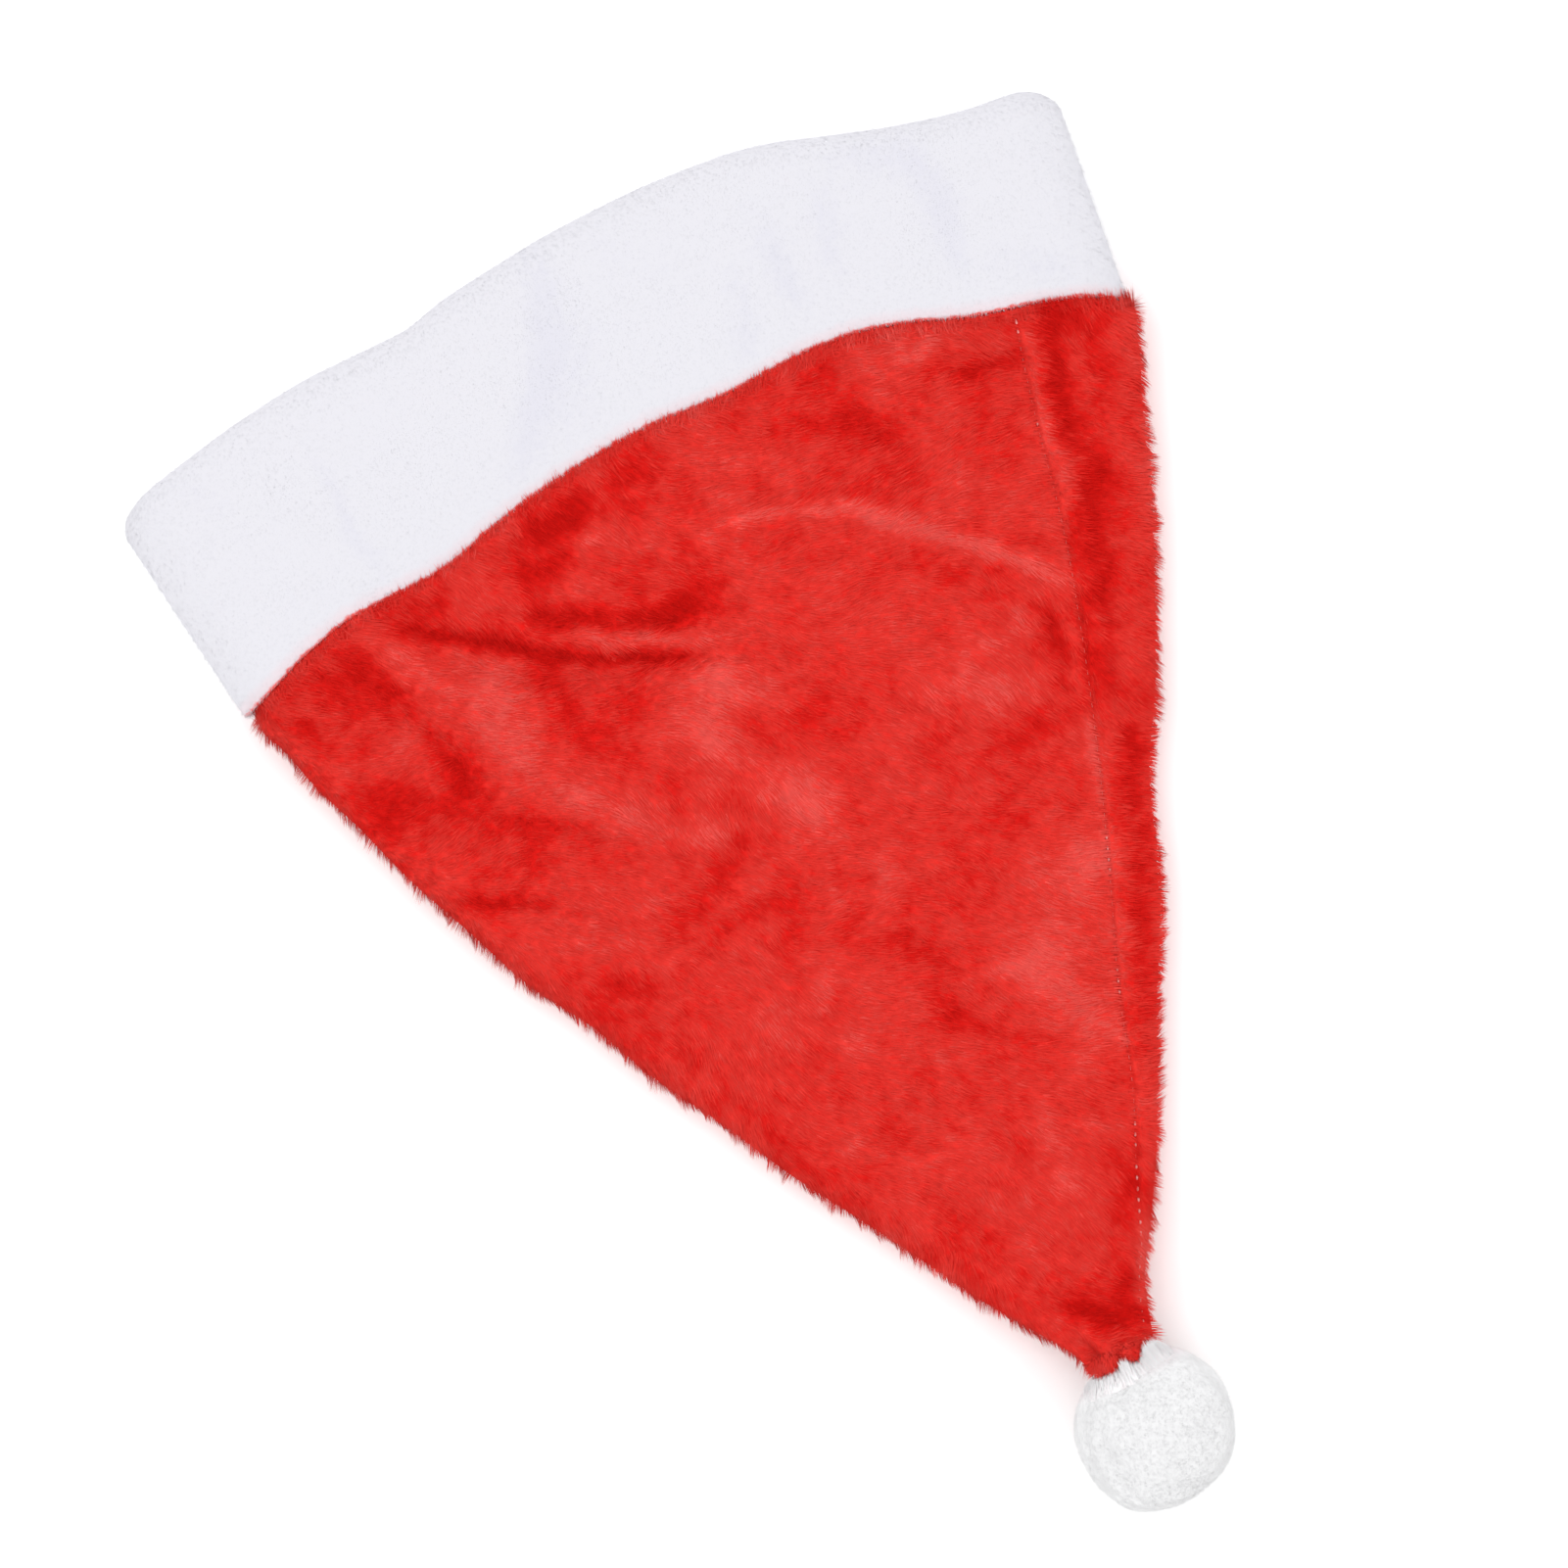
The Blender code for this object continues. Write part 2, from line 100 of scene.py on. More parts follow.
# (degrees in the plan, millimetres, degrees wide)
POMPOM_LOBES = ((70, 1.3, 26), (160, 0.2, 20), (252, 1.1, 16), (307, -1.0, 20), (206, -0.4, 15), (40, 0.6, 14))

# Faces of the fine cloth.
SEAM_BAND = 6.0
SEAM_BAND_LIMIT = 0.22
ANGLES_BEFORE_SEAM = 30
ANGLES_ACROSS_SEAM = 14
ANGLES_AFTER_SEAM = 116
ANGLES_UNDER = 50
CROWN_ROWS = 132
INNER_EVERY = 5

BrimLine = namedtuple("BrimLine", "across rim join")
BRIM_LINES = table(
    BrimLine,
    (-1.00, 175.0, 113.0),
    (-0.93, 179.8, 116.0),
    (-0.83, 183.3, 121.3),
    (-0.69, 187.3, 125.7),
    (-0.52, 190.0, 126.5),
    (-0.35, 190.3, 132.3),
    (-0.24, 193.8, 135.3),
    (-0.10, 196.5, 137.7),
    (0.00, 198.0, 138.6),
    (0.17, 198.8, 137.6),
    (0.35, 197.5, 138.9),
    (0.45, 195.0, 138.1),
    (0.55, 190.5, 135.1),
    (0.69, 184.5, 128.5),
    (0.83, 180.3, 124.1),
    (0.93, 178.8, 119.5),
    (1.00, 174.0, 114.5),
)
Section = namedtuple("Section", "y left right bow low top side")
CROWN_SECTIONS = table(
    Section,
    (-154.0, 3.2, 20.8, 0.0, 11.0, 29.4, 9.2),
    (-151.5, 2.0, 21.5, 0.0, 10.2, 29.2, 9.5),
    (-146.5, -0.5, 23.0, 0.5, 8.8, 28.0, 9.5),
    (-136.5, -8.0, 26.8, 1.2, 5.6, 25.6, 9.3),
    (-123.5, -17.0, 35.2, 2.5, 2.6, 23.4, 9.0),
    (-108.5, -26.0, 44.0, 4.0, 0.6, 22.2, 8.6),
    (-88.5, -38.5, 53.8, 6.0, 0.0, 22.0, 8.5),
    (-68.5, -51.0, 63.0, 7.5, 0.0, 22.4, 8.5),
    (-48.5, -61.8, 73.3, 9.0, 0.0, 23.0, 8.5),
    (-28.5, -73.8, 81.3, 10.5, 0.0, 23.6, 8.5),
    (-8.5, -83.3, 88.7, 12.5, 0.0, 24.2, 8.5),
    (11.5, -95.5, 99.8, 14.5, 0.0, 24.8, 8.5),
    (31.5, -104.0, 109.2, 16.5, 0.0, 25.4, 8.5),
    (51.5, -112.8, 117.8, 18.5, 0.0, 26.0, 8.5),
    (71.5, -119.8, 125.3, 20.5, 0.0, 26.5, 8.8),
    (86.5, -125.8, 130.8, 22.5, 0.0, 27.0, 9.2),
    (99.5, -129.3, 136.0, 24.0, 1.2, 27.4, 9.8),
    (107.5, -132.4, 137.6, 24.8, 2.4, 27.6, 10.4),
    (113.5, -131.7, 135.2, 25.0, 3.3, 27.7, 10.7),
)
FIRST_FREE_Y = 112.0
JOIN_COVERED = 1.2  # the crown's pile hides this much of the brim's edge
JOIN_EDGE_Y = CROWN_SECTIONS[-1].y - JOIN_COVERED
# How much further the fringe reaches over the brim at (x, mm).
FRINGE_MORE = ((60, 0.0), (84, -0.2), (108, -0.9), (113, 0.7), (125, 0.8), (136, 1.8))
RIPPLE_REACH = 45.0

SeamPoint = namedtuple("SeamPoint", "y x")
SEAM = table(
    SeamPoint,
    (-133.5, 28.0),
    (-112.5, 36.0),
    (-85.5, 47.0),
    (-60.5, 54.5),
    (-28.5, 66.5),
    (1.5, 77.0),
    (33.5, 87.0),
    (63.5, 95.0),
    (96.5, 101.5),
    (123.5, 108.0),
)
SEAM_ANGLE_LIMITS = (math.radians(22), math.radians(45))
SEAM_FIRST_GUESS = 0.8

# Folds and dents in the upper panel, as in the solids.
Fold = namedtuple("Fold", "name start middle end height width")
FOLDS = table(
    Fold,
    ("long crease", (-90, 124), (-55, 89), (-12, 75), -3.6, 6),
    ("swell under the long crease", (-84, 106), (-72, 84), (-38, 64), 2.4, 13),
    ("second crease", (-95, 108), (-94, 62), (-48, 36), -2.8, 7),
    ("left side dent", (-120, 106), (-113, 76), (-99, 60), -1.6, 8),
    ("left notch", (-101, 38), (-92, 31), (-80, 28), -1.4, 5),
    ("long ridge", (14, 103), (54, 90), (90, 52), 2.6, 6),
    ("hollow above the ridge", (18, 108), (32, 103), (44, 96), -1.6, 6),
    ("dent under the brim", (49, 126), (57, 113), (68, 102), -2.2, 7),
    ("dent by the seam", (80, 118), (94, 115), (105, 111), -2.0, 5),
    ("hollow right of the seam", (121, 119), (114, 102), (108, 78), -2.4, 7),
    ("fall right of the seam", (107, 72), (96, 24), (63, -52), -1.8, 8),
    ("pinch left of the seam", (82, 48), (81, 37), (78, 26), -1.6, 5),
    ("wide dent in the middle", (-24, 98), (-12, 90), (2, 88), -2.0, 10),
    ("dent near the long crease", (-53, 118), (-44, 110), (-42, 97), -2.0, 8),
    ("dimple", (-36, 20), (-27, 24), (-19, 28), -1.6, 7),
    ("lower dimple", (-56, 9), (-48, 9), (-39, 12), -1.3, 7),
    ("middle swell", (-32, 54), (-18, 50), (-7, 68), 1.6, 9),
    ("right swell", (42, 40), (56, 38), (70, 46), 1.6, 11),
    ("long soft valley", (2, -18), (17, -45), (10, -80), -1.9, 8),
    ("lower right swell", (40, -18), (47, -50), (38, -80), 1.8, 11),
    ("lower right valley", (37, -84), (37, -102), (26, -120), -1.9, 6),
    ("lower left dent", (-18, -91), (-13, -99), (-9, -108), -1.5, 6),
    ("left edge dent", (-77, 1), (-70, -1), (-63, -5), -1.3, 6),
    ("left lower dent", (-61, -27), (-58, -36), (-52, -47), -1.3, 7),
    ("crease at the gathers", (2, -134), (12, -141), (22, -145), -2.2, 5),
    ("brim wave left", (-34, 142), (-26, 158), (-14, 176), -1.2, 12),
    ("brim swell left", (-84, 146), (-80, 156), (-76, 168), 1.0, 16),
    ("brim swell middle", (14, 152), (18, 162), (22, 174), 1.0, 18),
    ("brim wave right", (98, 142), (100, 156), (104, 168), -1.2, 12),
)
# Sharper creases inside the folds.
CREASES = table(
    Fold,
    ("long crease", (-84, 116), (-66, 104), (-48, 90), -2.4, 2.2),
    ("end of the long crease", (-48, 90), (-31, 82), (-11, 73), -2.2, 2.0),
    ("lip over the long crease", (-62, 106), (-44, 94), (-14, 80), 1.4, 2.6),
    ("crease over the lip", (-49, 108), (-30, 91), (-4, 89), -1.8, 3.0),
    ("second crease", (-91, 88), (-87, 74), (-84, 64), -1.7, 2.6),
    ("end of the second crease", (-82, 56), (-70, 48), (-60, 40), -1.1, 3.0),
    ("left notch", (-102, 39), (-93, 35), (-81, 28), -1.2, 2.6),
    ("start of the long ridge", (2, 103), (20, 103), (36, 95), 0.8, 2.4),
    ("long ridge", (34, 96), (64, 78), (90, 52), 1.3, 2.6),
    ("dent under the brim", (52, 118), (58, 111), (67, 101), -1.3, 3.0),
    ("line by the seam", (83, 117), (92, 114), (103, 113), -1.1, 2.2),
    ("pinch left of the seam", (80, 47), (80, 38), (79, 29), -1.2, 2.2),
    ("band left of the seam", (50, 16), (62, 16), (79, 18), -0.9, 2.6),
    ("dimple", (-34, 15), (-29, 19), (-22, 21), -1.0, 3.2),
    ("top of the soft valley", (2, -21), (7, -24), (13, -35), -1.0, 3.0),
    ("crease at the gathers", (2, -132), (10, -138), (21, -138), -1.8, 2.6),
)
Patch = namedtuple("Patch", "start middle end height width")


def patches(*rows):
    """Patches from rows of x, y at the start, x, y at the middle, x, y at the end, height and width."""
    return tuple(Patch(row[0:2], row[2:4], row[4:6], *row[6:]) for row in rows)


# How the pile lies over the upper panel, with painted shade and light: above 0 it lies flat and looks light, below 0 it
# stands open and looks deep. The dark patches along the creases and the groove right of the seam are painted shade, and
# the light ones on the ridges are painted highlights. height is the strength.
NAP_AND_SHADE_PATCHES = patches(
    # the long crease and what lies round it
    (-84, 116, -66, 104, -48, 90, -0.62, 2.6),
    (-48, 90, -31, 82, -11, 73, -0.58, 2.2),
    (-44, 94, -32, 88, -12, 79, 0.34, 2.6),
    (-12, 78, -3, 76, 7, 75, 0.24, 3.4),
    (-54, 92, -53, 80, -50, 68, -0.30, 4.5),
    (-70, 97, -66, 87, -69, 74, 0.36, 6.0),
    (-82, 100, -77, 84, -70, 66, 0.20, 6.0),
    (-70, 66, -60, 55, -48, 43, 0.20, 7.0),
    (-94, 120, -89, 108, -85, 94, 0.22, 4.6),
    (-64, 119, -63, 114, -66, 110, 0.10, 5.0),
    (-80, 119, -76, 117, -70, 119, -0.22, 4.0),
    # under the middle of the brim
    (-50, 116, -42, 115, -33, 116, -0.46, 3.8),
    (-43, 124, -33, 125, -22, 127, -0.60, 4.6),
    (-49, 109, -46, 100, -36, 96, -0.46, 3.6),
    (-36, 96, -22, 90, -8, 88, -0.50, 4.2),
    (-17, 88, -9, 88, 0, 92, -0.34, 5.0),
    (-27, 107, -24, 103, -20, 99, -0.16, 6.0),
    (-32, 118, -21, 115, -9, 107, 0.30, 2.8),
    (-15, 130, -10, 131, -4, 131, -0.32, 4.4),
    (-15, 123, -11, 121, -8, 123, -0.18, 4.0),
    (8, 120, 14, 123, 20, 121, 0.14, 7.0),
    (5, 96, 7, 90, 8, 84, 0.16, 5.0),
    (12, 97, 15, 94, 19, 92, -0.14, 4.0),
    # the long ridge
    (2, 103, 18, 103, 34, 96, 0.40, 2.2),
    (34, 96, 48, 89, 60, 77, 0.66, 2.4),
    (60, 77, 74, 67, 88, 53, 0.66, 2.5),
    # under the right of the brim
    (21, 108, 23, 105, 27, 103, -0.16, 3.6),
    (24, 129, 31, 124, 38, 127, -0.16, 6.0),
    (36, 120, 46, 118, 54, 116, -0.26, 4.6),
    (52, 118, 58, 111, 67, 101, -0.36, 4.2),
    (46, 131, 50, 130, 54, 132, -0.20, 4.0),
    (66, 121, 79, 125, 90, 122, 0.22, 5.0),
    (58, 131, 69, 129, 80, 126, 0.18, 5.0),
    (60, 121, 66, 110, 72, 98, 0.14, 2.6),
    (83, 117, 92, 114, 103, 113, -0.44, 2.6),
    (68, 90, 76, 84, 82, 78, 0.10, 8.0),
    (55, 73, 58, 68, 62, 64, -0.14, 4.5),
    # the strip right of the seam
    (117, 121, 111, 107, 106, 86, -0.46, 3.4),
    (118, 119, 123, 115, 128, 113, -0.44, 6.0),
    (125, 110, 122, 100, 117, 86, -0.12, 7.0),
    (112, 98, 112, 93, 109, 84, -0.20, 4.0),
    (126, 99, 124, 90, 120, 82, -0.06, 5.0),
    (115, 84, 111, 78, 108, 74, -0.16, 6.0),
    (111, 74, 106, 65, 101, 58, -0.38, 7.4),
    (101, 53, 98, 47, 95, 38, -0.36, 4.6),
    (112, 56, 109, 48, 106, 42, -0.10, 6.0),
    (92, 30, 89, 23, 92, 13, -0.36, 4.6),
    (88, 5, 85, -3, 79, -11, -0.48, 5.0),
    (80, -14, 76, -24, 72, -34, -0.36, 4.4),
    (71, -38, 67, -45, 64, -57, -0.32, 4.2),
    (62, -62, 58, -69, 56, -76, -0.20, 3.6),
    # beside the seam
    (107, 116, 104, 98, 99, 76, 0.34, 2.4),
    (100, 78, 97, 67, 91, 54, 0.26, 2.2),
    (79, 13, 75, 2, 70, -19, 0.44, 2.0),
    (70, -19, 60, -46, 54, -62, 0.30, 1.9),
    (80, 47, 80, 38, 79, 29, -0.40, 2.6),
    (50, -82, 47, -88, 44, -94, 0.14, 2.0),
    # the left side
    (-97, 115, -95, 103, -91, 88, -0.22, 2.8),
    (-106, 77, -98, 70, -90, 66, -0.26, 7.0),
    (-84, 50, -70, 42, -54, 34, -0.15, 8.0),
    (-119, 108, -108, 102, -99, 93, -0.16, 9.0),
    (-104, 118, -102, 112, -99, 104, -0.38, 5.4),
    (-115, 114, -112, 111, -110, 107, -0.26, 4.0),
    (-125, 104, -122, 100, -118, 94, -0.36, 3.6),
    (-96, 92, -98, 86, -100, 80, 0.18, 5.0),
    (-114, 78, -112, 72, -112, 64, -0.38, 5.2),
    (-105, 76, -103, 70, -99, 62, -0.20, 5.2),
    (-90, 84, -87, 74, -84, 63, -0.44, 3.8),
    (-85, 57, -82, 55, -79, 52, -0.24, 3.4),
    (-78, 54, -70, 48, -61, 41, -0.16, 4.4),
    (-61, 54, -51, 42, -35, 30, 0.22, 5.0),
    (-102, 39, -93, 35, -81, 28, -0.42, 3.0),
    (-92, 44, -84, 40, -74, 34, -0.12, 6.0),
    # the middle
    (-22, 61, -20, 54, -19, 46, 0.54, 6.5),
    (-14, 66, -8, 63, -2, 58, 0.52, 6.5),
    (-38, 72, -36, 69, -34, 67, -0.14, 4.0),
    (-46, 64, -44, 60, -43, 55, -0.12, 6.0),
    (-6, 50, 4, 47, 13, 41, -0.18, 6.5),
    (-9, 32, -3, 26, -5, 15, 0.50, 7.4),
    (-35, 29, -31, 27, -27, 28, 0.26, 4.5),
    (57, 43, 65, 44, 74, 47, 0.34, 3.2),
    (44, 37, 52, 35, 62, 27, 0.36, 6.5),
    (-34, 15, -28, 20, -22, 23, -0.32, 5.4),
    (-52, 8, -49, 9, -45, 10, -0.26, 3.8),
    (-43, 12, -39, 13, -36, 14, -0.18, 3.5),
    (-62, 22, -56, 17, -50, 20, 0.12, 5.0),
    (-39, 3, -28, 3, -18, 2, -0.22, 3.2),
    (-18, -1, -20, -5, -26, -9, -0.28, 3.6),
    (-3, 9, -3, 5, -3, 1, -0.24, 2.4),
    (-8, 2, -8, -2, -6, -6, 0.18, 3.0),
    (7, 4, 9, -4, 4, -15, 0.20, 3.6),
    (50, 16, 62, 16, 79, 18, -0.16, 3.2),
    (42, -3, 46, -4, 52, -4, -0.18, 4.0),
    (-74, 3, -71, 1, -66, -4, -0.22, 4.2),
    (-84, 3, -80, -4, -76, -9, -0.16, 5.0),
    # the lower part
    (2, -20, 8, -25, 15, -37, -0.28, 3.4),
    (8, -46, 13, -54, 15, -66, -0.18, 4.6),
    (8, -38, 9, -44, 6, -50, -0.18, 5.0),
    (-10, -14, -8, -16, -5, -16, -0.14, 4.0),
    (-24, -27, -20, -22, -17, -17, 0.20, 3.4),
    (-23, -43, -19, -41, -15, -40, 0.16, 4.6),
    (-32, -66, -28, -62, -23, -61, 0.16, 4.6),
    (60, -20, 45, -31, 33, -40, 0.30, 9.5),
    (18, -14, 22, -20, 28, -25, 0.14, 6.0),
    (38, -43, 41, -56, 44, -71, 0.34, 8.0),
    (70, -20, 64, -22, 56, -25, 0.30, 4.6),
    (23, -74, 18, -88, 18, -108, 0.18, 4.6),
    (4, -75, 7, -80, 10, -88, -0.12, 4.6),
    (0, -90, 6, -94, 10, -97, -0.14, 6.0),
    (-17, -99, -13, -101, -7, -100, -0.14, 3.8),
    (-12, -90, -12, -104, -9, -118, -0.02, 9.0),
    (-27, -102, -24, -105, -21, -107, -0.30, 3.6),
    (-16, -110, -9, -116, -6, -118, -0.08, 5.0),
    (0, -110, 2, -116, 3, -123, 0.10, 4.0),
    (31, -99, 35, -104, 33, -109, -0.24, 3.8),
    (32, -110, 29, -115, 25, -121, -0.36, 3.8),
    (-62, -29, -59, -34, -55, -39, 0.05, 5.0),
    (-66, -22, -51, -52, -37, -80, -0.10, 4.6),
    (-50, -56, -46, -64, -41, -72, -0.10, 5.0),
    (2, -131, 9, -138, 14, -142, -0.60, 4.2),
    (23, -130, 20, -137, 20, -145, -0.56, 3.8),
    (9, -143, 14, -142, 18, -142, -0.30, 3.0),
    (32, -121, 28, -131, 24, -141, 0.44, 2.8),
)
NAP_MIDDLE = 0.50
# Ragged edges and fine spots of the patches: (strength, size, seed).
NAP_BEND_X = ((1.5, 9.0, 14), (0.9, 3.5, 15))
NAP_BEND_Y = ((1.5, 9.0, 16), (0.9, 3.5, 17))
NAP_SPOTS = ((0.07, 24.0, 11), (0.09, 8.0, 12), (0.13, 3.5, 13), (0.10, 1.7, 18))
NAP_TURNS = ((0.75, 42.0, 31), (0.35, 13.0, 32))
CLOTH_SHADED_NAP = 0.8  # the share of it that the cloth between the fibres has, so the cloth is painted deeper and darker, as painted shade under the pile
# The cloth's tone is painted a little darker, as shade under the pile.
CLOTH_SHADED_TONE = 0.35
UNDER_SPOTS = ((0.3, 22.0, 51), (0.15, 9.0, 52))
UNDER_TURNS = ((0.75, 42.0, 53),)
# Painted shade of soft bluish folds across the brim.
BRIM_PAINTED_SHADES = patches(
    (-9, 192, -16, 168, -37, 141, 1.0, 5.0),
    (-4, 172, -10, 160, -18, 146, 0.5, 9.0),
    (-85, 166, -85, 150, -83, 131, 0.7, 3.0),
    (40, 166, 38, 152, 34, 141, 0.6, 4.0),
    (54, 172, 53, 162, 54, 150, 0.8, 5.0),
    (70, 178, 70, 166, 67, 152, 0.6, 4.0),
    (78, 182, 88, 180, 97, 174, 0.6, 4.0),
    (99, 178, 101, 160, 99, 140, 0.9, 5.0),
    (-120, 174, -116, 168, -113, 162, 0.4, 5.0),
    (12, 188, 18, 182, 26, 176, 0.4, 6.0),
    (128, 128, 120, 132, 112, 138, 0.5, 6.0),
)
WHITE_SHARE = 0.7  # this much nap is plain white, 0 is the blush and 1 the painted shade of a fold
FOLD_STEPS = 24
FOLD_END_TURN = 0.08

# Pile.
NAP_DIRECTION = math.radians(-45)  # in the plan, from +X
PILE_LENGTH = 3.6
PILE_WIDTH = 0.34
RED_FIBRES_TOP = 108000
RED_FIBRES_UNDER = 16000
JOIN_FIBRES = 4600
TIP_FIBRES = 1800
WHITE_FIBRES_TOP = 46000
WHITE_FIBRES_UNDER = 8000
POMPOM_FIBRES = 30000
SEAT_FIBRES = 2600
WHITE_LENGTH = 1.8
WHITE_WIDTH = 0.20
WHITE_NAP_DIRECTION = math.radians(-100)
WHITE_SUNK = 0.09  # how deep the roots of the brim's pile lie in the cloth
SEAT_BACK = (-0.8, 4.2)  # how far behind the seat they root on the ball
SEAT_RING = (11.0, 12.4)  # the ring on the crown's tip that they reach
SEAT_WIDTHS = (0.20, 0.34)
SEAT_BLUSH = (0.4, 1.0)
SEAT_PAINTED_LIGHT = 0.8  # painted light: the white tufts at the tip are painted lighter against the shade of the hollow they lie in
BALL_SUNK = 0.2  # how deep the roots of the ball's pile lie in it
BALL_PILE_PAST_SEAT = 1.3
BALL_TILTS = (52.0, 84.0)  # degrees off the normal
BALL_LENGTHS = (1.3, 2.0)
BALL_WIDTHS = (0.14, 0.22)
BLADE_SUNK = 0.25  # how deep each fibre starts under its root
BLADE_DEPTH = 0.6  # of a fibre's width
LOWEST_PILE = 0.12  # above the floor
# How far the shading normals turn up.
RED_LIFT = 1.1
BRIM_LIFT = 2.2
BALL_LIFT = 2.6
LEAST_LIFT = 0.35  # the share of it below the middle of a side
LIFT_GROWTH = 1.3
BALL_LEAN = 0.15
TONE_SPREAD = 0.1  # the random share of the white fibres' tone; the rest is painted light that grows where the surface turns to the side
UPPER_LIMIT = -0.12  # the upper part of a loop ends where the sine of its angle is less
SEAM_CLEAR = 0.3  # no pile grows this near to the seam
# The red pile: its tilt off the normal in degrees at nap 0 and how much more at nap 1, and what grows with the
# surface's turn to the side.
TOP_TILT = (50, 24)
UNDER_TILT = (62, 12)
# Painted light: the red pile is painted lighter towards the sides; the higher nap also tilts it flatter there.
SIDE_NAP_AND_LIGHT = 0.30
SIDE_TILT = 0.40
SWIRL = (0.20, 0.26)
LOCKS = (0.10, 0.35)
# The fringe over the brim's edge: along the cloth to the brim, off it, up, together in locks, at random.
FRINGE_WAY = (0.90, 0.10, 0.32, 0.30, 0.20)
# How far it reaches past the edge: at least, up to this much more, and in locks.
FRINGE_REACH = (0.5, 2.2, 0.5)
# The ring of pile at the tip, and tufts in it: (x, half the width, reach).
TIP_RING = 12.5
TIP_RADIUS = 9.0
TIP_RADIUS_MORE = 2.6
TIP_AWAY = 2.4  # from the seat of the ball
TIP_ARC = (0.04, 0.96)  # the upper part of the ring, in half turns
TIP_TUFTS = ((5.2, 4.0, 1.4), (15.2, 1.5, 1.0))
SEAT_TUFTS = ((11.3, 1.5, 3.0), (20.6, 3.2, 4.2))

# The stitches along the seam, and where they stand out of the pile: (y, y).
STITCH_STEP = 3.1
STITCH_LENGTH = 1.5
STITCH_RADIUS = 0.30
STITCH_RINGS = 5
STITCH_SIDES = 8
STITCH_RISES = (1.0, 1.8)
STITCH_HIDDEN_RISE = -0.2
STITCHES_END = 6.0  # the last one is this far from the tip
STITCHES_SHOWN = (
    (123.0, 117.0), (93.5, 90.5), (-20.0, -29.0), (-52.5, -61.0), (-95.0, -103.0), (-106.0, -124.0),
)

RED_STOPS = (
    (0.00, (0.60, 0.0045, 0.0030)),
    (0.20, (0.73, 0.0100, 0.0075)),
    (0.50, (0.785, 0.0345, 0.0260)),
    (1.00, (0.830, 0.0880, 0.0740)),
)
WHITE = (0.633, 0.627, 0.668)
BALL_WHITE = (0.728, 0.728, 0.734)
# painted reflection of the red crown on the brim's rounded edge beside it, in place of its shade
REFLECTED_RED = (0.74, 0.12, 0.11)
# painted shade in the brim's folds
PAINTED_FOLD_SHADE = (0.604, 0.598, 0.656)
BLUSH = (0.67, 0.580, 0.615)
BLUSH_REACH = 5.0
BALL_BLUSH = (0.76, 0.69, 0.71)
THREAD = (0.76, 0.27, 0.25)
MOTTLE = 0.07
ROUGHNESS_SPREAD = 0.08

# The camera looks straight down, turned so that the mouth points up and to the right.
CAMERA_TURN = math.radians(-25)
VIEW_CENTRE = (-6.0, 31.5)
VIEW_WIDTH = 440.3
OUTLINE_HEIGHT = 12.0
CAMERA_DISTANCE = 1600.0
SENSOR = 36.0
FLOOR_HALF = 6000.0
SKY_STRENGTH = 1.06
# Lamps over the hat's middle: name, place and size in metres, power.
LAMPS = (("key", (-0.55, 0.6, 2.1), 1.6, 13.0), ("fill", (0.7, -0.5, 2.1), 1.8, 7.0))


def curve_through(knots, values):
    """A smooth curve through the values that doesn't overshoot between two of them."""
    knots = np.asarray(knots, float)
    values = np.asarray(values, float)
    steps = np.diff(knots)
    slopes = np.diff(values) / steps
    tangents = np.concatenate([slopes[:1], np.zeros(len(knots) - 2), slopes[-1:]])
    same_way = slopes[:-1] * slopes[1:] > 0
    together = np.where(same_way, slopes[:-1] + slopes[1:], 1.0)
    tangents[1:-1] = np.where(same_way, 2 * slopes[:-1] * slopes[1:] / together, 0.0)

    def at(where):
        where = np.clip(where, knots[0], knots[-1])
        i = np.clip(np.searchsorted(knots, where, side="right") - 1, 0, len(steps) - 1)
        t = (where - knots[i]) / steps[i]
        start = (1 + 2 * t) * (1 - t) ** 2 * values[i] + t * (1 - t) ** 2 * steps[i] * tangents[i]
        end = t**2 * (3 - 2 * t) * values[i + 1] + t**2 * (t - 1) * steps[i] * tangents[i + 1]
        return start + end

    return at


def columns_of(rows, key):
    """One smooth curve for each other column of a table, over its key column."""
    knots = [getattr(row, key) for row in rows]
    names = [name for name in rows[0]._fields if name != key]
    return {name: curve_through(knots, [getattr(row, name) for row in rows]) for name in names}


brim_line = columns_of(BRIM_LINES, "across")
crown_section = columns_of(CROWN_SECTIONS, "y")
seam_line = columns_of(SEAM, "y")


def soft_noise(x, y, size, seed):
    """Smooth random values between -1 and 1 over the plan, in spots about this size."""
    table = np.random.default_rng(seed).uniform(-1.0, 1.0, (64, 64))
    turned_x = (0.83 * x + 0.56 * y) / size + 640.0
    turned_y = (-0.56 * x + 0.83 * y) / size + 640.0
    i = np.floor(turned_x).astype(int)
    j = np.floor(turned_y).astype(int)
    u = turned_x - i
    v = turned_y - j
    u = u * u * (3 - 2 * u)
    v = v * v * (3 - 2 * v)
    near = table[i % 64, j % 64] * (1 - u) + table[(i + 1) % 64, j % 64] * u
    far = table[i % 64, (j + 1) % 64] * (1 - u) + table[(i + 1) % 64, (j + 1) % 64] * u
    return near * (1 - v) + far * v


def with_noise(values, x, y, noises):
    """The values plus each noise of a table of (strength, size, seed)."""
    for strength, size, seed in noises:
        values = values + strength * soft_noise(x, y, size, seed)
    return values


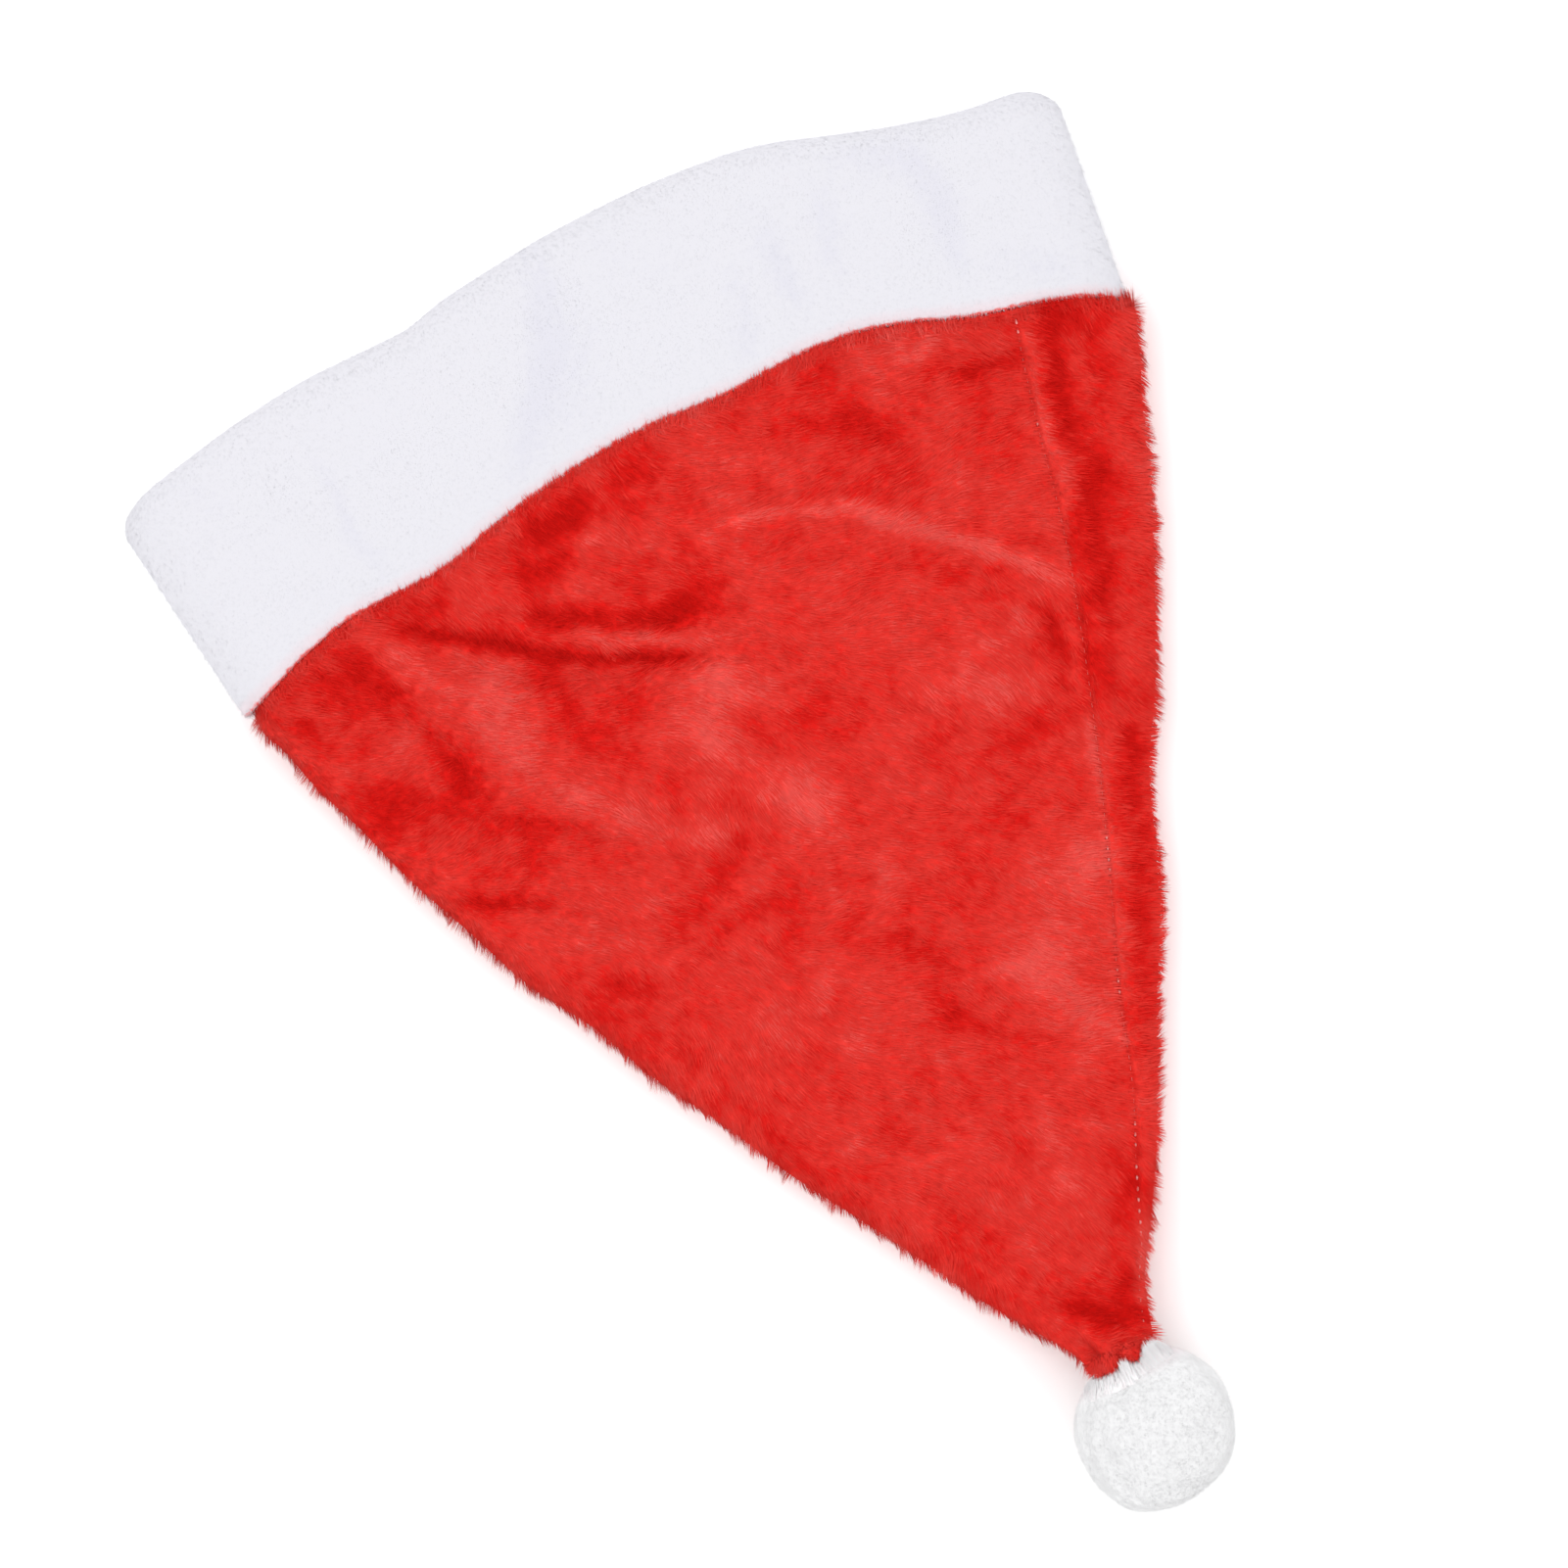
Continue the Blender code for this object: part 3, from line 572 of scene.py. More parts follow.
def fold_sum(folds, x, y):
    """The sum of all the folds' heights over each point of the plan."""
    x = np.asarray(x, float)
    y = np.asarray(y, float)
    total = np.zeros(x.shape)
    along = np.linspace(0.0, 1.0, FOLD_STEPS)
    strength = np.sqrt(np.sin(math.pi * (FOLD_END_TURN + (1 - 2 * FOLD_END_TURN) * along)))
    for fold in folds:
        start, middle, end = (np.array(point, float) for point in (fold.start, fold.middle, fold.end))
        bend = 2 * middle - (start + end) / 2
        t = along[:, None]
        path = (1 - t) ** 2 * start + 2 * t * (1 - t) * bend + t**2 * end
        margin = 3 * fold.width
        near = (
            (x > path[:, 0].min() - margin) & (x < path[:, 0].max() + margin)
            & (y > path[:, 1].min() - margin) & (y < path[:, 1].max() + margin)
        )
        if near.any():
            away = np.hypot(x[near][:, None] - path[:, 0], y[near][:, None] - path[:, 1])
            total[near] += fold.height * (strength * np.exp(-((away / fold.width) ** 2))).max(axis=-1)
    return total


def fine_angles(seam_angle, half_width):
    """Angles round a flattened loop, closer together across the seam."""
    reach = min(SEAM_BAND / (half_width * math.sin(seam_angle)), SEAM_BAND_LIMIT)
    return np.concatenate([
        np.linspace(0.0, seam_angle - reach, ANGLES_BEFORE_SEAM, endpoint=False),
        np.linspace(seam_angle - reach, seam_angle + reach, ANGLES_ACROSS_SEAM, endpoint=False),
        np.linspace(seam_angle + reach, math.pi, ANGLES_AFTER_SEAM, endpoint=False),
        np.linspace(math.pi, 2 * math.pi, ANGLES_UNDER, endpoint=False),
    ])


def side_rounding(angles, half_width, radius):
    share = min(radius / half_width, 1.0)
    into_side = np.clip((np.abs(np.cos(angles)) - (1 - share)) / share, 0.0, 1.0)
    return np.sign(np.sin(angles)) * np.sqrt(np.maximum(1 - into_side**2, 0.0))


def upper_share(rounding):
    return np.clip(rounding, 0.0, 1.0) ** 2


def seam_angle_at(y, centre, half_width, bow):
    across = SEAM_FIRST_GUESS
    for _ in range(4):
        across = float(seam_line["x"](y + bow * (1 - across**2)) - centre) / half_width
        across = min(max(across, 0.0), 1.0)
    return min(max(math.acos(across), SEAM_ANGLE_LIMITS[0]), SEAM_ANGLE_LIMITS[1])


def brim_angles():
    top = CROWN_SECTIONS[-1]
    seam_angle = seam_angle_at(top.y, JOIN_CENTRE_X, JOIN_HALF_WIDTH, top.bow)
    return fine_angles(seam_angle, JOIN_HALF_WIDTH)


def brim_loop(from_join, from_rim, depth):
    """One loop of points round the brim, this deep under its outer face."""
    angles = brim_angles()
    across = np.cos(angles) * (1 - depth / JOIN_HALF_WIDTH)
    rim = brim_line["rim"](across)
    join = brim_line["join"](across) - JOIN_COVERED
    width = rim - join
    share = from_join / width if from_join is not None else 1 - from_rim / width
    half_width = JOIN_HALF_WIDTH + share * (RIM_HALF_WIDTH - JOIN_HALF_WIDTH)
    centre = JOIN_CENTRE_X * (1 - share)
    y = join + share * width
    rounding = side_rounding(angles, JOIN_HALF_WIDTH - depth, BRIM_SIDE - depth)
    upper = upper_share(side_rounding(angles, JOIN_HALF_WIDTH, BRIM_SIDE))
    if from_join is not None and from_join <= SLOT_DEPTH and depth > 0:
        folds = fold_sum(FOLDS, JOIN_CENTRE_X + JOIN_HALF_WIDTH * np.cos(angles), join)
    else:
        folds = fold_sum(FOLDS, centre + half_width * np.cos(angles), y)
    swell = BRIM_SWELL * (1 - np.cos(angles) ** 2) + folds
    x = centre + (half_width - depth) * np.cos(angles)
    z = BRIM_SIDE + (BRIM_SIDE - depth) * rounding + upper * swell
    if depth < BRIM_THICKNESS / 2:
        rise = np.sin(math.pi * np.clip(share, 0.0, 1.0))
        z = z + upper * rise * with_noise(0.0, x, y, BRIM_DENTS)
    z = z + PRESSED_PILE * (1 - rounding) / 2
    return np.column_stack([x, y, z])


def crown_loop(y):
    """One loop of points round the crown on its outer face, with each point's distance left of the seam."""
    section = {name: float(crown_section[name](y)) for name in Section._fields[1:]}
    half_width = (section["right"] - section["left"]) / 2
    centre = (section["right"] + section["left"]) / 2
    seam_angle = seam_angle_at(y, centre, half_width, section["bow"])
    angles = fine_angles(seam_angle, half_width)
    across = np.cos(angles)
    x = centre + half_width * across
    top = CROWN_SECTIONS[-1]
    ripple = brim_line["join"](across) - (top.y + top.bow * (1 - across**2))
    ripple = ripple * max(0.0, 1 - (top.y - y) / RIPPLE_REACH) ** 2
    plan_y = y + section["bow"] * (1 - across**2) + ripple
    gathered = float(np.clip((PLEATS_FROM_Y - y) / (PLEATS_FROM_Y - PLEATS_FULL_Y), 0.0, 1.0))
    pleat = gathered * PLEAT_HEIGHT * np.cos(PLEATS * angles)
    off_seam = (angles - seam_angle) * half_width * math.sin(seam_angle)
    groove = SEAM_DEPTH * np.exp(-((2 * off_seam / SEAM_REACH) ** 2))
    groove = groove * min(1.0, max(0.0, (y - SEAM_FROM_Y) / SEAM_FADE))
    ridge = RIDGE_HEIGHT * np.exp(-(((off_seam + RIDGE_AWAY) / RIDGE_WIDTH) ** 2))
    free = min(1.0, max(0.0, (FIRST_FREE_Y + 1 - y) / CREASE_FADE))
    fine = with_noise(fold_sum(CREASES, x, plan_y), x, plan_y, CROWN_DENTS) + ridge - groove
    relief = fold_sum(FOLDS, x, plan_y) + free * fine
    near_join = math.exp(-(((FIRST_FREE_Y - y) / JOIN_SWELL_REACH) ** 2))
    relief = relief + JOIN_SWELL * near_join
    swell = (section["top"] - section["low"] - 2 * section["side"]) * (1 - across**2)
    swell = swell + (1 - gathered) * relief
    rounding = side_rounding(angles, half_width, section["side"])
    z = section["low"] + section["side"] * (1 + rounding) + upper_share(rounding) * swell
    z = z + PRESSED_PILE * (1 - rounding) / 2
    x = x + JOIN_SIDE_SWELL * near_join * np.maximum(across, 0.0) * (1 - rounding**2)
    return np.column_stack([x + pleat * across, plan_y, z + pleat * rounding]), off_seam, angles


def grid_normals(grid):
    """Outward normals of a grid of points whose rows are closed loops."""
    along = np.gradient(grid, axis=0)
    around = np.roll(grid, -1, axis=1) - np.roll(grid, 1, axis=1)
    normals = np.cross(around, along)
    return normals / np.maximum(np.linalg.norm(normals, axis=2, keepdims=True), 1e-9)


def mesh_from_arrays(name, points, corners, starts):
    """A mesh from arrays: points in millimetres, every face's corners in a row, and where each face starts."""
    mesh = bpy.data.meshes.new(name)
    mesh.vertices.add(len(points))
    mesh.vertices.foreach_set("co", (points * MM).astype(np.float32).ravel())
    mesh.loops.add(len(corners))
    mesh.loops.foreach_set("vertex_index", corners.astype(np.int32))
    mesh.polygons.add(len(starts))
    mesh.polygons.foreach_set("loop_start", starts.astype(np.int32))
    mesh.update(calc_edges=True)
    mesh.validate()
    mesh.shade_smooth()
    return mesh


def set_lie(mesh, nap_and_shade, tone):
    """How the pile lies at each point, with its painted shade and light, and its tone, for the materials."""
    for name, values in (("nap_and_shade", nap_and_shade), ("tone", tone)):
        values = np.broadcast_to(values, len(mesh.vertices)).astype(np.float32)
        mesh.attributes.new(name, "FLOAT", "POINT").data.foreach_set("value", values)


def vectors_of(items, name):
    values = np.empty(len(items) * 3, np.float32)
    items.foreach_get(name, values)
    return values.reshape(-1, 3)


def object_of(mesh, material):
    obj = bpy.data.objects.new(mesh.name, mesh)
    bpy.context.scene.collection.objects.link(obj)
    mesh.materials.append(material)
    return obj


def loft_mesh(name, loops, closed_ring, cap_end):
    """A skin of quads through loops that all have the same number of points."""
    count = len(loops[0])
    rows = len(loops)
    last = rows if closed_ring else rows - 1
    near = np.arange(last)[:, None] * count
    far = (np.arange(last)[:, None] + 1) % rows * count
    j = np.arange(count)[None, :]
    k = (j + 1) % count
    quads = np.stack([near + j, near + k, far + k, far + j], axis=-1).reshape(-1)
    starts = np.arange(0, len(quads), 4)
    if cap_end:
        starts = np.append(starts, len(quads))
        quads = np.append(quads, (rows - 1) * count + np.arange(count))
    return mesh_from_arrays(name, np.concatenate(loops), quads, starts)


def nap_and_shade_at(x, y):
    """How flat the pile lies over the plan, from 0 to 1, with painted shade in its creases and painted highlights on
    its ridges.
    """
    nap_and_shade = NAP_MIDDLE + fold_sum(NAP_AND_SHADE_PATCHES, with_noise(x, x, y, NAP_BEND_X), with_noise(y, x, y, NAP_BEND_Y))
    return np.clip(with_noise(nap_and_shade, x, y, NAP_SPOTS), 0.0, 1.0)


Roots = namedtuple("Roots", "points normals extra")


def scatter(grid, normals, extra, weights, count, rng):
    """Points spread over a grid of closed loops, by its cells' area times their weight."""
    right = np.roll(grid, -1, axis=1)
    across = (right - grid)[:-1]
    along = grid[1:] - grid[:-1]
    area = np.linalg.norm(np.cross(across, along), axis=2) * weights[:-1]
    total = np.cumsum(area.ravel())
    picks = (np.arange(count) + rng.random(count)) / count * total[-1]
    cells = np.minimum(np.searchsorted(total, picks), len(total) - 1)
    rows, columns = np.divmod(cells, grid.shape[1])
    next_columns = (columns + 1) % grid.shape[1]
    u = rng.random(count)[:, None]
    v = rng.random(count)[:, None]

    def blend(values):
        low = values[rows, columns] * (1 - u) + values[rows, next_columns] * u
        high = values[rows + 1, columns] * (1 - u) + values[rows + 1, next_columns] * u
        return low * (1 - v) + high * v

    mixed = blend(normals)
    mixed /= np.linalg.norm(mixed, axis=1, keepdims=True)
    return Roots(blend(grid), mixed, blend(extra))


def unit(vectors):
    return vectors / np.maximum(np.linalg.norm(vectors, axis=1, keepdims=True), 1e-9)


def lifted(normals, lift):
    """Shading normals turned up a little on the sides, as light goes through the pile there."""
    share = np.clip(LEAST_LIFT + LIFT_GROWTH * normals[:, 2], LEAST_LIFT, 1.0)
    return unit(normals + np.column_stack([np.zeros((len(normals), 2)), lift * share]))


def lift_cloth(obj, lift):
    normals = vectors_of(obj.data.vertex_normals, "vector")
    obj.data.normals_split_custom_set_from_vertices(lifted(normals, lift).tolist())


def fibres(name, roots, normals, directions, lengths, widths, nap_and_shade, material, rng, lean=0.3, lift=RED_LIFT,
           painted_lighter_sides=False, more_painted_light=0.0):
    """Pile as one mesh: each fibre is a closed tapered blade with three sides, shaded as part of the cloth."""
    count = len(roots)
    side = unit(np.cross(directions, normals)) * (widths / 2)[:, None]
    base = roots - normals * BLADE_SUNK
    left = base - side
    right = base + side
    under = base - normals * (widths * BLADE_DEPTH)[:, None]
    tips = roots + directions * lengths[:, None]
    points = np.stack([left, right, under, tips], axis=1).reshape(-1, 3)
    points[:, 2] = np.maximum(points[:, 2], LOWEST_PILE)
    first = np.arange(count)[:, None] * 4
    faces = np.array([0, 1, 3, 1, 2, 3, 2, 0, 3, 0, 2, 1])
    corners = (first + faces[None, :]).reshape(-1)
    mesh = mesh_from_arrays(name, points, corners, np.arange(0, len(corners), 3))
    tone = rng.random(count)
    # Painted light: the white pile is painted lighter where the surface turns to the side.
    if painted_lighter_sides:
        tone = np.minimum(side_painted_light(normals, tone) + more_painted_light, 1.0)
    set_lie(mesh, np.repeat(nap_and_shade, 4), np.repeat(tone, 4))
    shading = lifted(normals + directions * lean, lift)
    mesh.normals_split_custom_set_from_vertices(np.repeat(shading, 4, axis=0).tolist())
    return object_of(mesh, material)


def pile_directions(roots, nap_angle, tilt, swirl_seed, swirl):
    """Which way each fibre points: along the nap, tilted off the normal, and drawn together in small locks."""
    x, y = roots.points[:, 0], roots.points[:, 1]
    lie = np.column_stack([np.cos(nap_angle), np.sin(nap_angle), np.zeros(len(x))])
    lie = unit(lie - roots.normals * np.sum(lie * roots.normals, axis=1, keepdims=True))
    direction = roots.normals * np.cos(tilt)[:, None] + lie * np.sin(tilt)[:, None]
    pull = np.column_stack([
        soft_noise(x, y, 3.1, swirl_seed) + 0.7 * soft_noise(x, y, 1.4, swirl_seed + 2),
        soft_noise(x, y, 3.1, swirl_seed + 1) + 0.7 * soft_noise(x, y, 1.4, swirl_seed + 3),
        0.6 * soft_noise(x, y, 2.3, swirl_seed + 4),
    ])
    return unit(direction + swirl * pull)


def node(tree, kind, **settings):
    made = tree.nodes.new(kind)
    for key, value in settings.items():
        if key in made.inputs:
            made.inputs[key].default_value = value
        else:
            setattr(made, key, value)
    return made


def mapped(tree, source, low, high):
    """A value from 0 to 1 spread between these two."""
    spread = node(tree, "ShaderNodeMapRange")
    spread.inputs["To Min"].default_value = low
    spread.inputs["To Max"].default_value = high
    tree.links.new(source, spread.inputs["Value"])
    return spread


def plush_material(name, stops, sheen, roughness, tone_range, bump):
    """Plush: the colour follows how the pile lies with its painted shade and light, each fibre's tone, which on the
    white parts is mostly painted light on the sides, and a fine mottle.
    """
    material = bpy.data.materials.new(name)
    material.use_nodes = True
    tree = material.node_tree
    link = tree.links.new
    shader = tree.nodes["Principled BSDF"]
    shader.inputs["Sheen Weight"].default_value = sheen
    shader.inputs["Sheen Roughness"].default_value = 0.45
    shader.inputs["Specular IOR Level"].default_value = 0.05
    shader.inputs["Base Color"].default_value = (*stops[len(stops) // 2][1], 1.0)
    nap_and_shade = node(tree, "ShaderNodeAttribute", attribute_name="nap_and_shade")
    tone = node(tree, "ShaderNodeAttribute", attribute_name="tone")
    place = node(tree, "ShaderNodeTexCoord")
    mottle = node(tree, "ShaderNodeTexNoise", Scale=420.0, Detail=3.0)
    link(place.outputs["Object"], mottle.inputs["Vector"])
    spread = mapped(tree, mottle.outputs["Fac"], -MOTTLE, MOTTLE)
    spread.inputs["From Min"].default_value = 0.3
    spread.inputs["From Max"].default_value = 0.7
    lie = node(tree, "ShaderNodeMath", operation="ADD")
    link(nap_and_shade.outputs["Fac"], lie.inputs[0])
    link(spread.outputs["Result"], lie.inputs[1])
    ramp = node(tree, "ShaderNodeValToRGB")
    ramp.color_ramp.interpolation = "EASE"
    while len(ramp.color_ramp.elements) < len(stops):
        ramp.color_ramp.elements.new(0.5)
    for element, (at, colour) in zip(ramp.color_ramp.elements, stops):
        element.position = at
        element.color = (*colour, 1.0)
    link(lie.outputs["Value"], ramp.inputs["Fac"])
    gain = mapped(tree, tone.outputs["Fac"], *tone_range)
    toned = node(tree, "ShaderNodeVectorMath", operation="SCALE")
    link(ramp.outputs["Color"], toned.inputs[0])
    link(gain.outputs["Result"], toned.inputs["Scale"])
    link(toned.outputs["Vector"], shader.inputs["Base Color"])
    rough = mapped(tree, mottle.outputs["Fac"], roughness - ROUGHNESS_SPREAD, roughness + ROUGHNESS_SPREAD)
    link(rough.outputs["Result"], shader.inputs["Roughness"])
    if bump:
        nubs = node(tree, "ShaderNodeTexNoise", Scale=900.0, Detail=2.0)
        link(place.outputs["Object"], nubs.inputs["Vector"])
        raised = node(tree, "ShaderNodeBump", Strength=0.5, Distance=bump)
        link(nubs.outputs["Fac"], raised.inputs["Height"])
        link(raised.outputs["Normal"], shader.inputs["Normal"])
    return material


def make_crown(material):
    """The red cloth as one closed shell, and the rows of its outer face that the pile grows on."""
    in_brim = [brim_loop(up, None, CROWN_DEPTH) for up in np.linspace(EDGE_IN_BRIM, 0.0, 4)]
    rows_y = np.linspace(FIRST_FREE_Y, CROWN_SECTIONS[0].y, CROWN_ROWS)
    made = [crown_loop(y) for y in rows_y]
    free = [loop for loop, _, _ in made]
    middle = free[-1].mean(axis=0)
    cap = [middle + (free[-1] - middle) * scale + (0.0, -past, 0.0) for scale, past in CAP_SCALES]
    outer = np.array(in_brim + free + cap)
    normals = grid_normals(outer)
    inner_rows = list(range(0, len(outer) - len(cap), INNER_EVERY))
    inner = [outer[i] - normals[i] * CLOTH for i in inner_rows]
    closing = inner[-1].mean(axis=0)
    inner_end = closing + (inner[-1] - closing) * 0.3
    # The skin runs from the inner end over the edge in the brim to the tip.
    loops = [inner_end] + inner[::-1] + list(outer)
    mesh = loft_mesh("crown_cloth", loops, closed_ring=False, cap_end=True)
    work = bmesh.new()
    work.from_mesh(mesh)
    bmesh.ops.holes_fill(work, edges=[edge for edge in work.edges if edge.is_boundary], sides=0)
    bmesh.ops.recalc_face_normals(work, faces=work.faces)
    work.to_mesh(mesh)
    work.free()
    mesh.shade_smooth()
    place = np.concatenate(loops)
    # The cloth between the fibres is painted darker, as painted shade under the pile.
    set_lie(mesh, nap_and_shade_at(place[:, 0], place[:, 1]) * CLOTH_SHADED_NAP, CLOTH_SHADED_TONE)
    crown = object_of(mesh, material)
    first = len(in_brim)
    grid = outer[first:first + CROWN_ROWS]
    off_seam = np.array([off for _, off, _ in made])
    angles = np.array([angle for _, _, angle in made])
    return crown, grid, normals[first:first + CROWN_ROWS], off_seam, angles


def brim_profile():
    """The section of the band as (from join, from rim, depth), round from the outer edge at the join."""
    outer_round = OUTER_LAYER / 2
    inner_round = INNER_LAYER / 2
    slot_floor = BRIM_THICKNESS - INNER_LAYER
    nose = BRIM_THICKNESS / 2
    profile = []
    for turn in np.linspace(-0.5, 0.5, 7) * math.pi:
        profile.append((outer_round * (1 - math.cos(turn)), None, outer_round * (1 + math.sin(turn))))
    profile.append((SLOT_DEPTH, None, OUTER_LAYER))
    profile.append((SLOT_DEPTH, None, slot_floor))
    for turn in np.linspace(-0.5, 0.5, 5) * math.pi:
        up = inner_round * (1 - math.cos(turn))
        profile.append((up, None, slot_floor + inner_round * (1 + math.sin(turn))))
    for up in (10.0, 20.0, 30.0, 38.0):
        profile.append((up, None, BRIM_THICKNESS))
    for turn in np.linspace(0.5, -0.5, 11) * math.pi:
        profile.append((None, nose * (1 - math.cos(turn)), nose * (1 + math.sin(turn))))
    for down in (7.0, 10.0):
        profile.append((None, down, 0.0))
    return profile + [(up, None, 0.0) for up in np.linspace(36.0, 3.0, 18)]


def brim_blush_and_shade(x, y, blush):
    """From the blush beside the red over plain white to the painted shade of bluish folds."""
    shade = np.clip(fold_sum(BRIM_PAINTED_SHADES, x + 2.0 * soft_noise(x, y, 12.0, 21), y), 0.0, 1.0)
    return blush * (WHITE_SHARE + (1 - WHITE_SHARE) * shade)


def side_painted_light(normals, tone):
    """Painted light: the pile is painted lighter where the surface turns to the side."""
    return TONE_SPREAD * tone + (1 - TONE_SPREAD) * (1 - np.clip(normals[:, 2], 0.0, 1.0)) ** 1.5


def make_brim(material):
    loops = [brim_loop(*place) for place in brim_profile()]
    mesh = loft_mesh("brim_band", loops, closed_ring=True, cap_end=False)
    from_join = np.array([99.0 if up is None else up for up, _, _ in brim_profile()])
    depth = np.array([deep for _, _, deep in brim_profile()])
    blush = np.clip(from_join / BLUSH_REACH, 0.15, 1.0)
    # The rounded edge beside the crown is painted in the red's reflection, darker than the white where shade falls
    # under it.
    blush = np.where((from_join < 3.0) & (depth > 0.4) & (depth <= OUTER_LAYER), 0.0, blush)
    blush = np.repeat(blush, len(loops[0]))
    places = np.concatenate(loops)
    # Painted light: the brim's cloth is painted lighter where it turns to the side.
    tone = side_painted_light(vectors_of(mesh.vertex_normals, "vector"), 0.5)
    set_lie(mesh, brim_blush_and_shade(places[:, 0], places[:, 1], blush), tone)
    return object_of(mesh, material), np.array(loops), blush.reshape(len(loops), -1, 1)


def make_floor():
    mesh = bpy.data.meshes.new("floor")
    half = FLOOR_HALF * MM
    mesh.from_pydata([(-half, -half, 0), (half, -half, 0), (half, half, 0), (-half, half, 0)], [], [(0, 1, 2, 3)])
    floor = bpy.data.objects.new("floor", mesh)
    bpy.context.scene.collection.objects.link(floor)
    material = bpy.data.materials.new("floor")
    material.use_nodes = True
    shader = material.node_tree.nodes["Principled BSDF"]
    shader.inputs["Base Color"].default_value = (0.97, 0.97, 0.97, 1.0)
    shader.inputs["Roughness"].default_value = 0.9
    shader.inputs["Specular IOR Level"].default_value = 0.1
    mesh.materials.append(material)


def make_camera():
    data = bpy.data.cameras.new("camera")
    data.sensor_width = SENSOR
    data.lens = SENSOR * CAMERA_DISTANCE / VIEW_WIDTH
    data.clip_end = 50.0
    camera = bpy.data.objects.new("camera", data)
    camera.location = (VIEW_CENTRE[0] * MM, VIEW_CENTRE[1] * MM, (CAMERA_DISTANCE + OUTLINE_HEIGHT) * MM)
    camera.rotation_euler = (0.0, 0.0, CAMERA_TURN)
    bpy.context.scene.collection.objects.link(camera)
    bpy.context.scene.camera = camera


def make_light():
    world = bpy.data.worlds.new("studio")
    world.use_nodes = True
    sky = world.node_tree.nodes["Background"]
    sky.inputs["Color"].default_value = (1.0, 1.0, 1.0, 1.0)
    sky.inputs["Strength"].default_value = SKY_STRENGTH
    bpy.context.scene.world = world
    for name, place, size, power in LAMPS:
        data = bpy.data.lights.new(name, "AREA")
        data.size = size
        data.energy = power
        light = bpy.data.objects.new(name, data)
        light.location = place
        x, y, z = place
        light.rotation_euler = (math.acos(z / np.linalg.norm(place)), 0.0, math.atan2(x, -y))
        bpy.context.scene.collection.objects.link(light)
    bpy.context.scene.view_settings.view_transform = "Standard"


def make_stitches(grid, normals, off_seam, material):
    """Short ends of thread along the seam, each a closed round bead pulled into the cloth at both ends."""
    at_seam = np.argmin(np.abs(off_seam), axis=1)
    rows = np.arange(len(grid))
    line = grid[rows, at_seam]
    outward = normals[rows, at_seam]
    along = np.concatenate([[0.0], np.cumsum(np.linalg.norm(np.diff(line, axis=0), axis=1))])
    centres = np.arange(STITCH_STEP, along[-1] - STITCHES_END, STITCH_STEP)
    rings, sides = STITCH_RINGS, STITCH_SIDES
    height_rng = np.random.default_rng(77)
    points, corners, starts = [], [], []
    turns = np.arange(sides) * 2 * math.pi / sides
    for centre in centres:
        place = np.array([np.interp(centre, along, line[:, axis]) for axis in range(3)])
        ahead = np.array([np.interp(centre + 1.0, along, line[:, axis]) for axis in range(3)]) - place
        ahead /= np.linalg.norm(ahead)
        up = np.array((0.0, 0.0, 1.0))
        aside = np.cross(ahead, up)
        aside /= np.linalg.norm(aside)
        up = np.cross(aside, ahead)
        shown = any(top >= place[1] >= low for top, low in STITCHES_SHOWN)
        rise = height_rng.uniform(*STITCH_RISES) if shown else STITCH_HIDDEN_RISE
        first = len(points)
        for ring in range(rings):
            share = (ring + 0.5) / rings
            radius = STITCH_RADIUS * math.sqrt(math.sin(math.pi * share))
            middle = place + ahead * STITCH_LENGTH * (share - 0.5) + up * (rise * math.sin(math.pi * share))
            for turn in turns:
                points.append(middle + radius * (math.cos(turn) * aside + math.sin(turn) * up))
        for ring in range(rings - 1):
            for side in range(sides):
                a = first + ring * sides + side
                b = first + ring * sides + (side + 1) % sides
                starts.append(len(corners))
                corners += [a, b, b + sides, a + sides]
        starts.append(len(corners))
        corners += [first + side for side in range(sides - 1, -1, -1)]
        starts.append(len(corners))
        corners += [first + (rings - 1) * sides + side for side in range(sides)]
    mesh = mesh_from_arrays("seam_stitches", np.array(points), np.array(corners), np.array(starts))
    set_lie(mesh, 0.5, 0.5)
    return object_of(mesh, material)


def pompom_radius(directions):
    """How far the ball's pile reaches in each direction: it has a few fuller and flatter sides."""
    turn = np.arctan2(directions @ np.array((0.4226, 0.9063, 0.0)), directions @ np.array((0.9063, -0.4226, 0.0)))
    flat = np.hypot(directions[:, 0], directions[:, 1])
    radius = np.full(len(directions), POMPOM_RADIUS)
    for at, height, width in POMPOM_LOBES:
        away = np.degrees(turn) - at
        away = (away + 180.0) % 360.0 - 180.0
        radius = radius + height * flat * np.exp(-((away / width) ** 2))
    lumps = soft_noise(directions[:, 0] * 20 + 40 * directions[:, 2], directions[:, 1] * 20, 7.0, 91)
    return radius + POMPOM_LUMPS * lumps


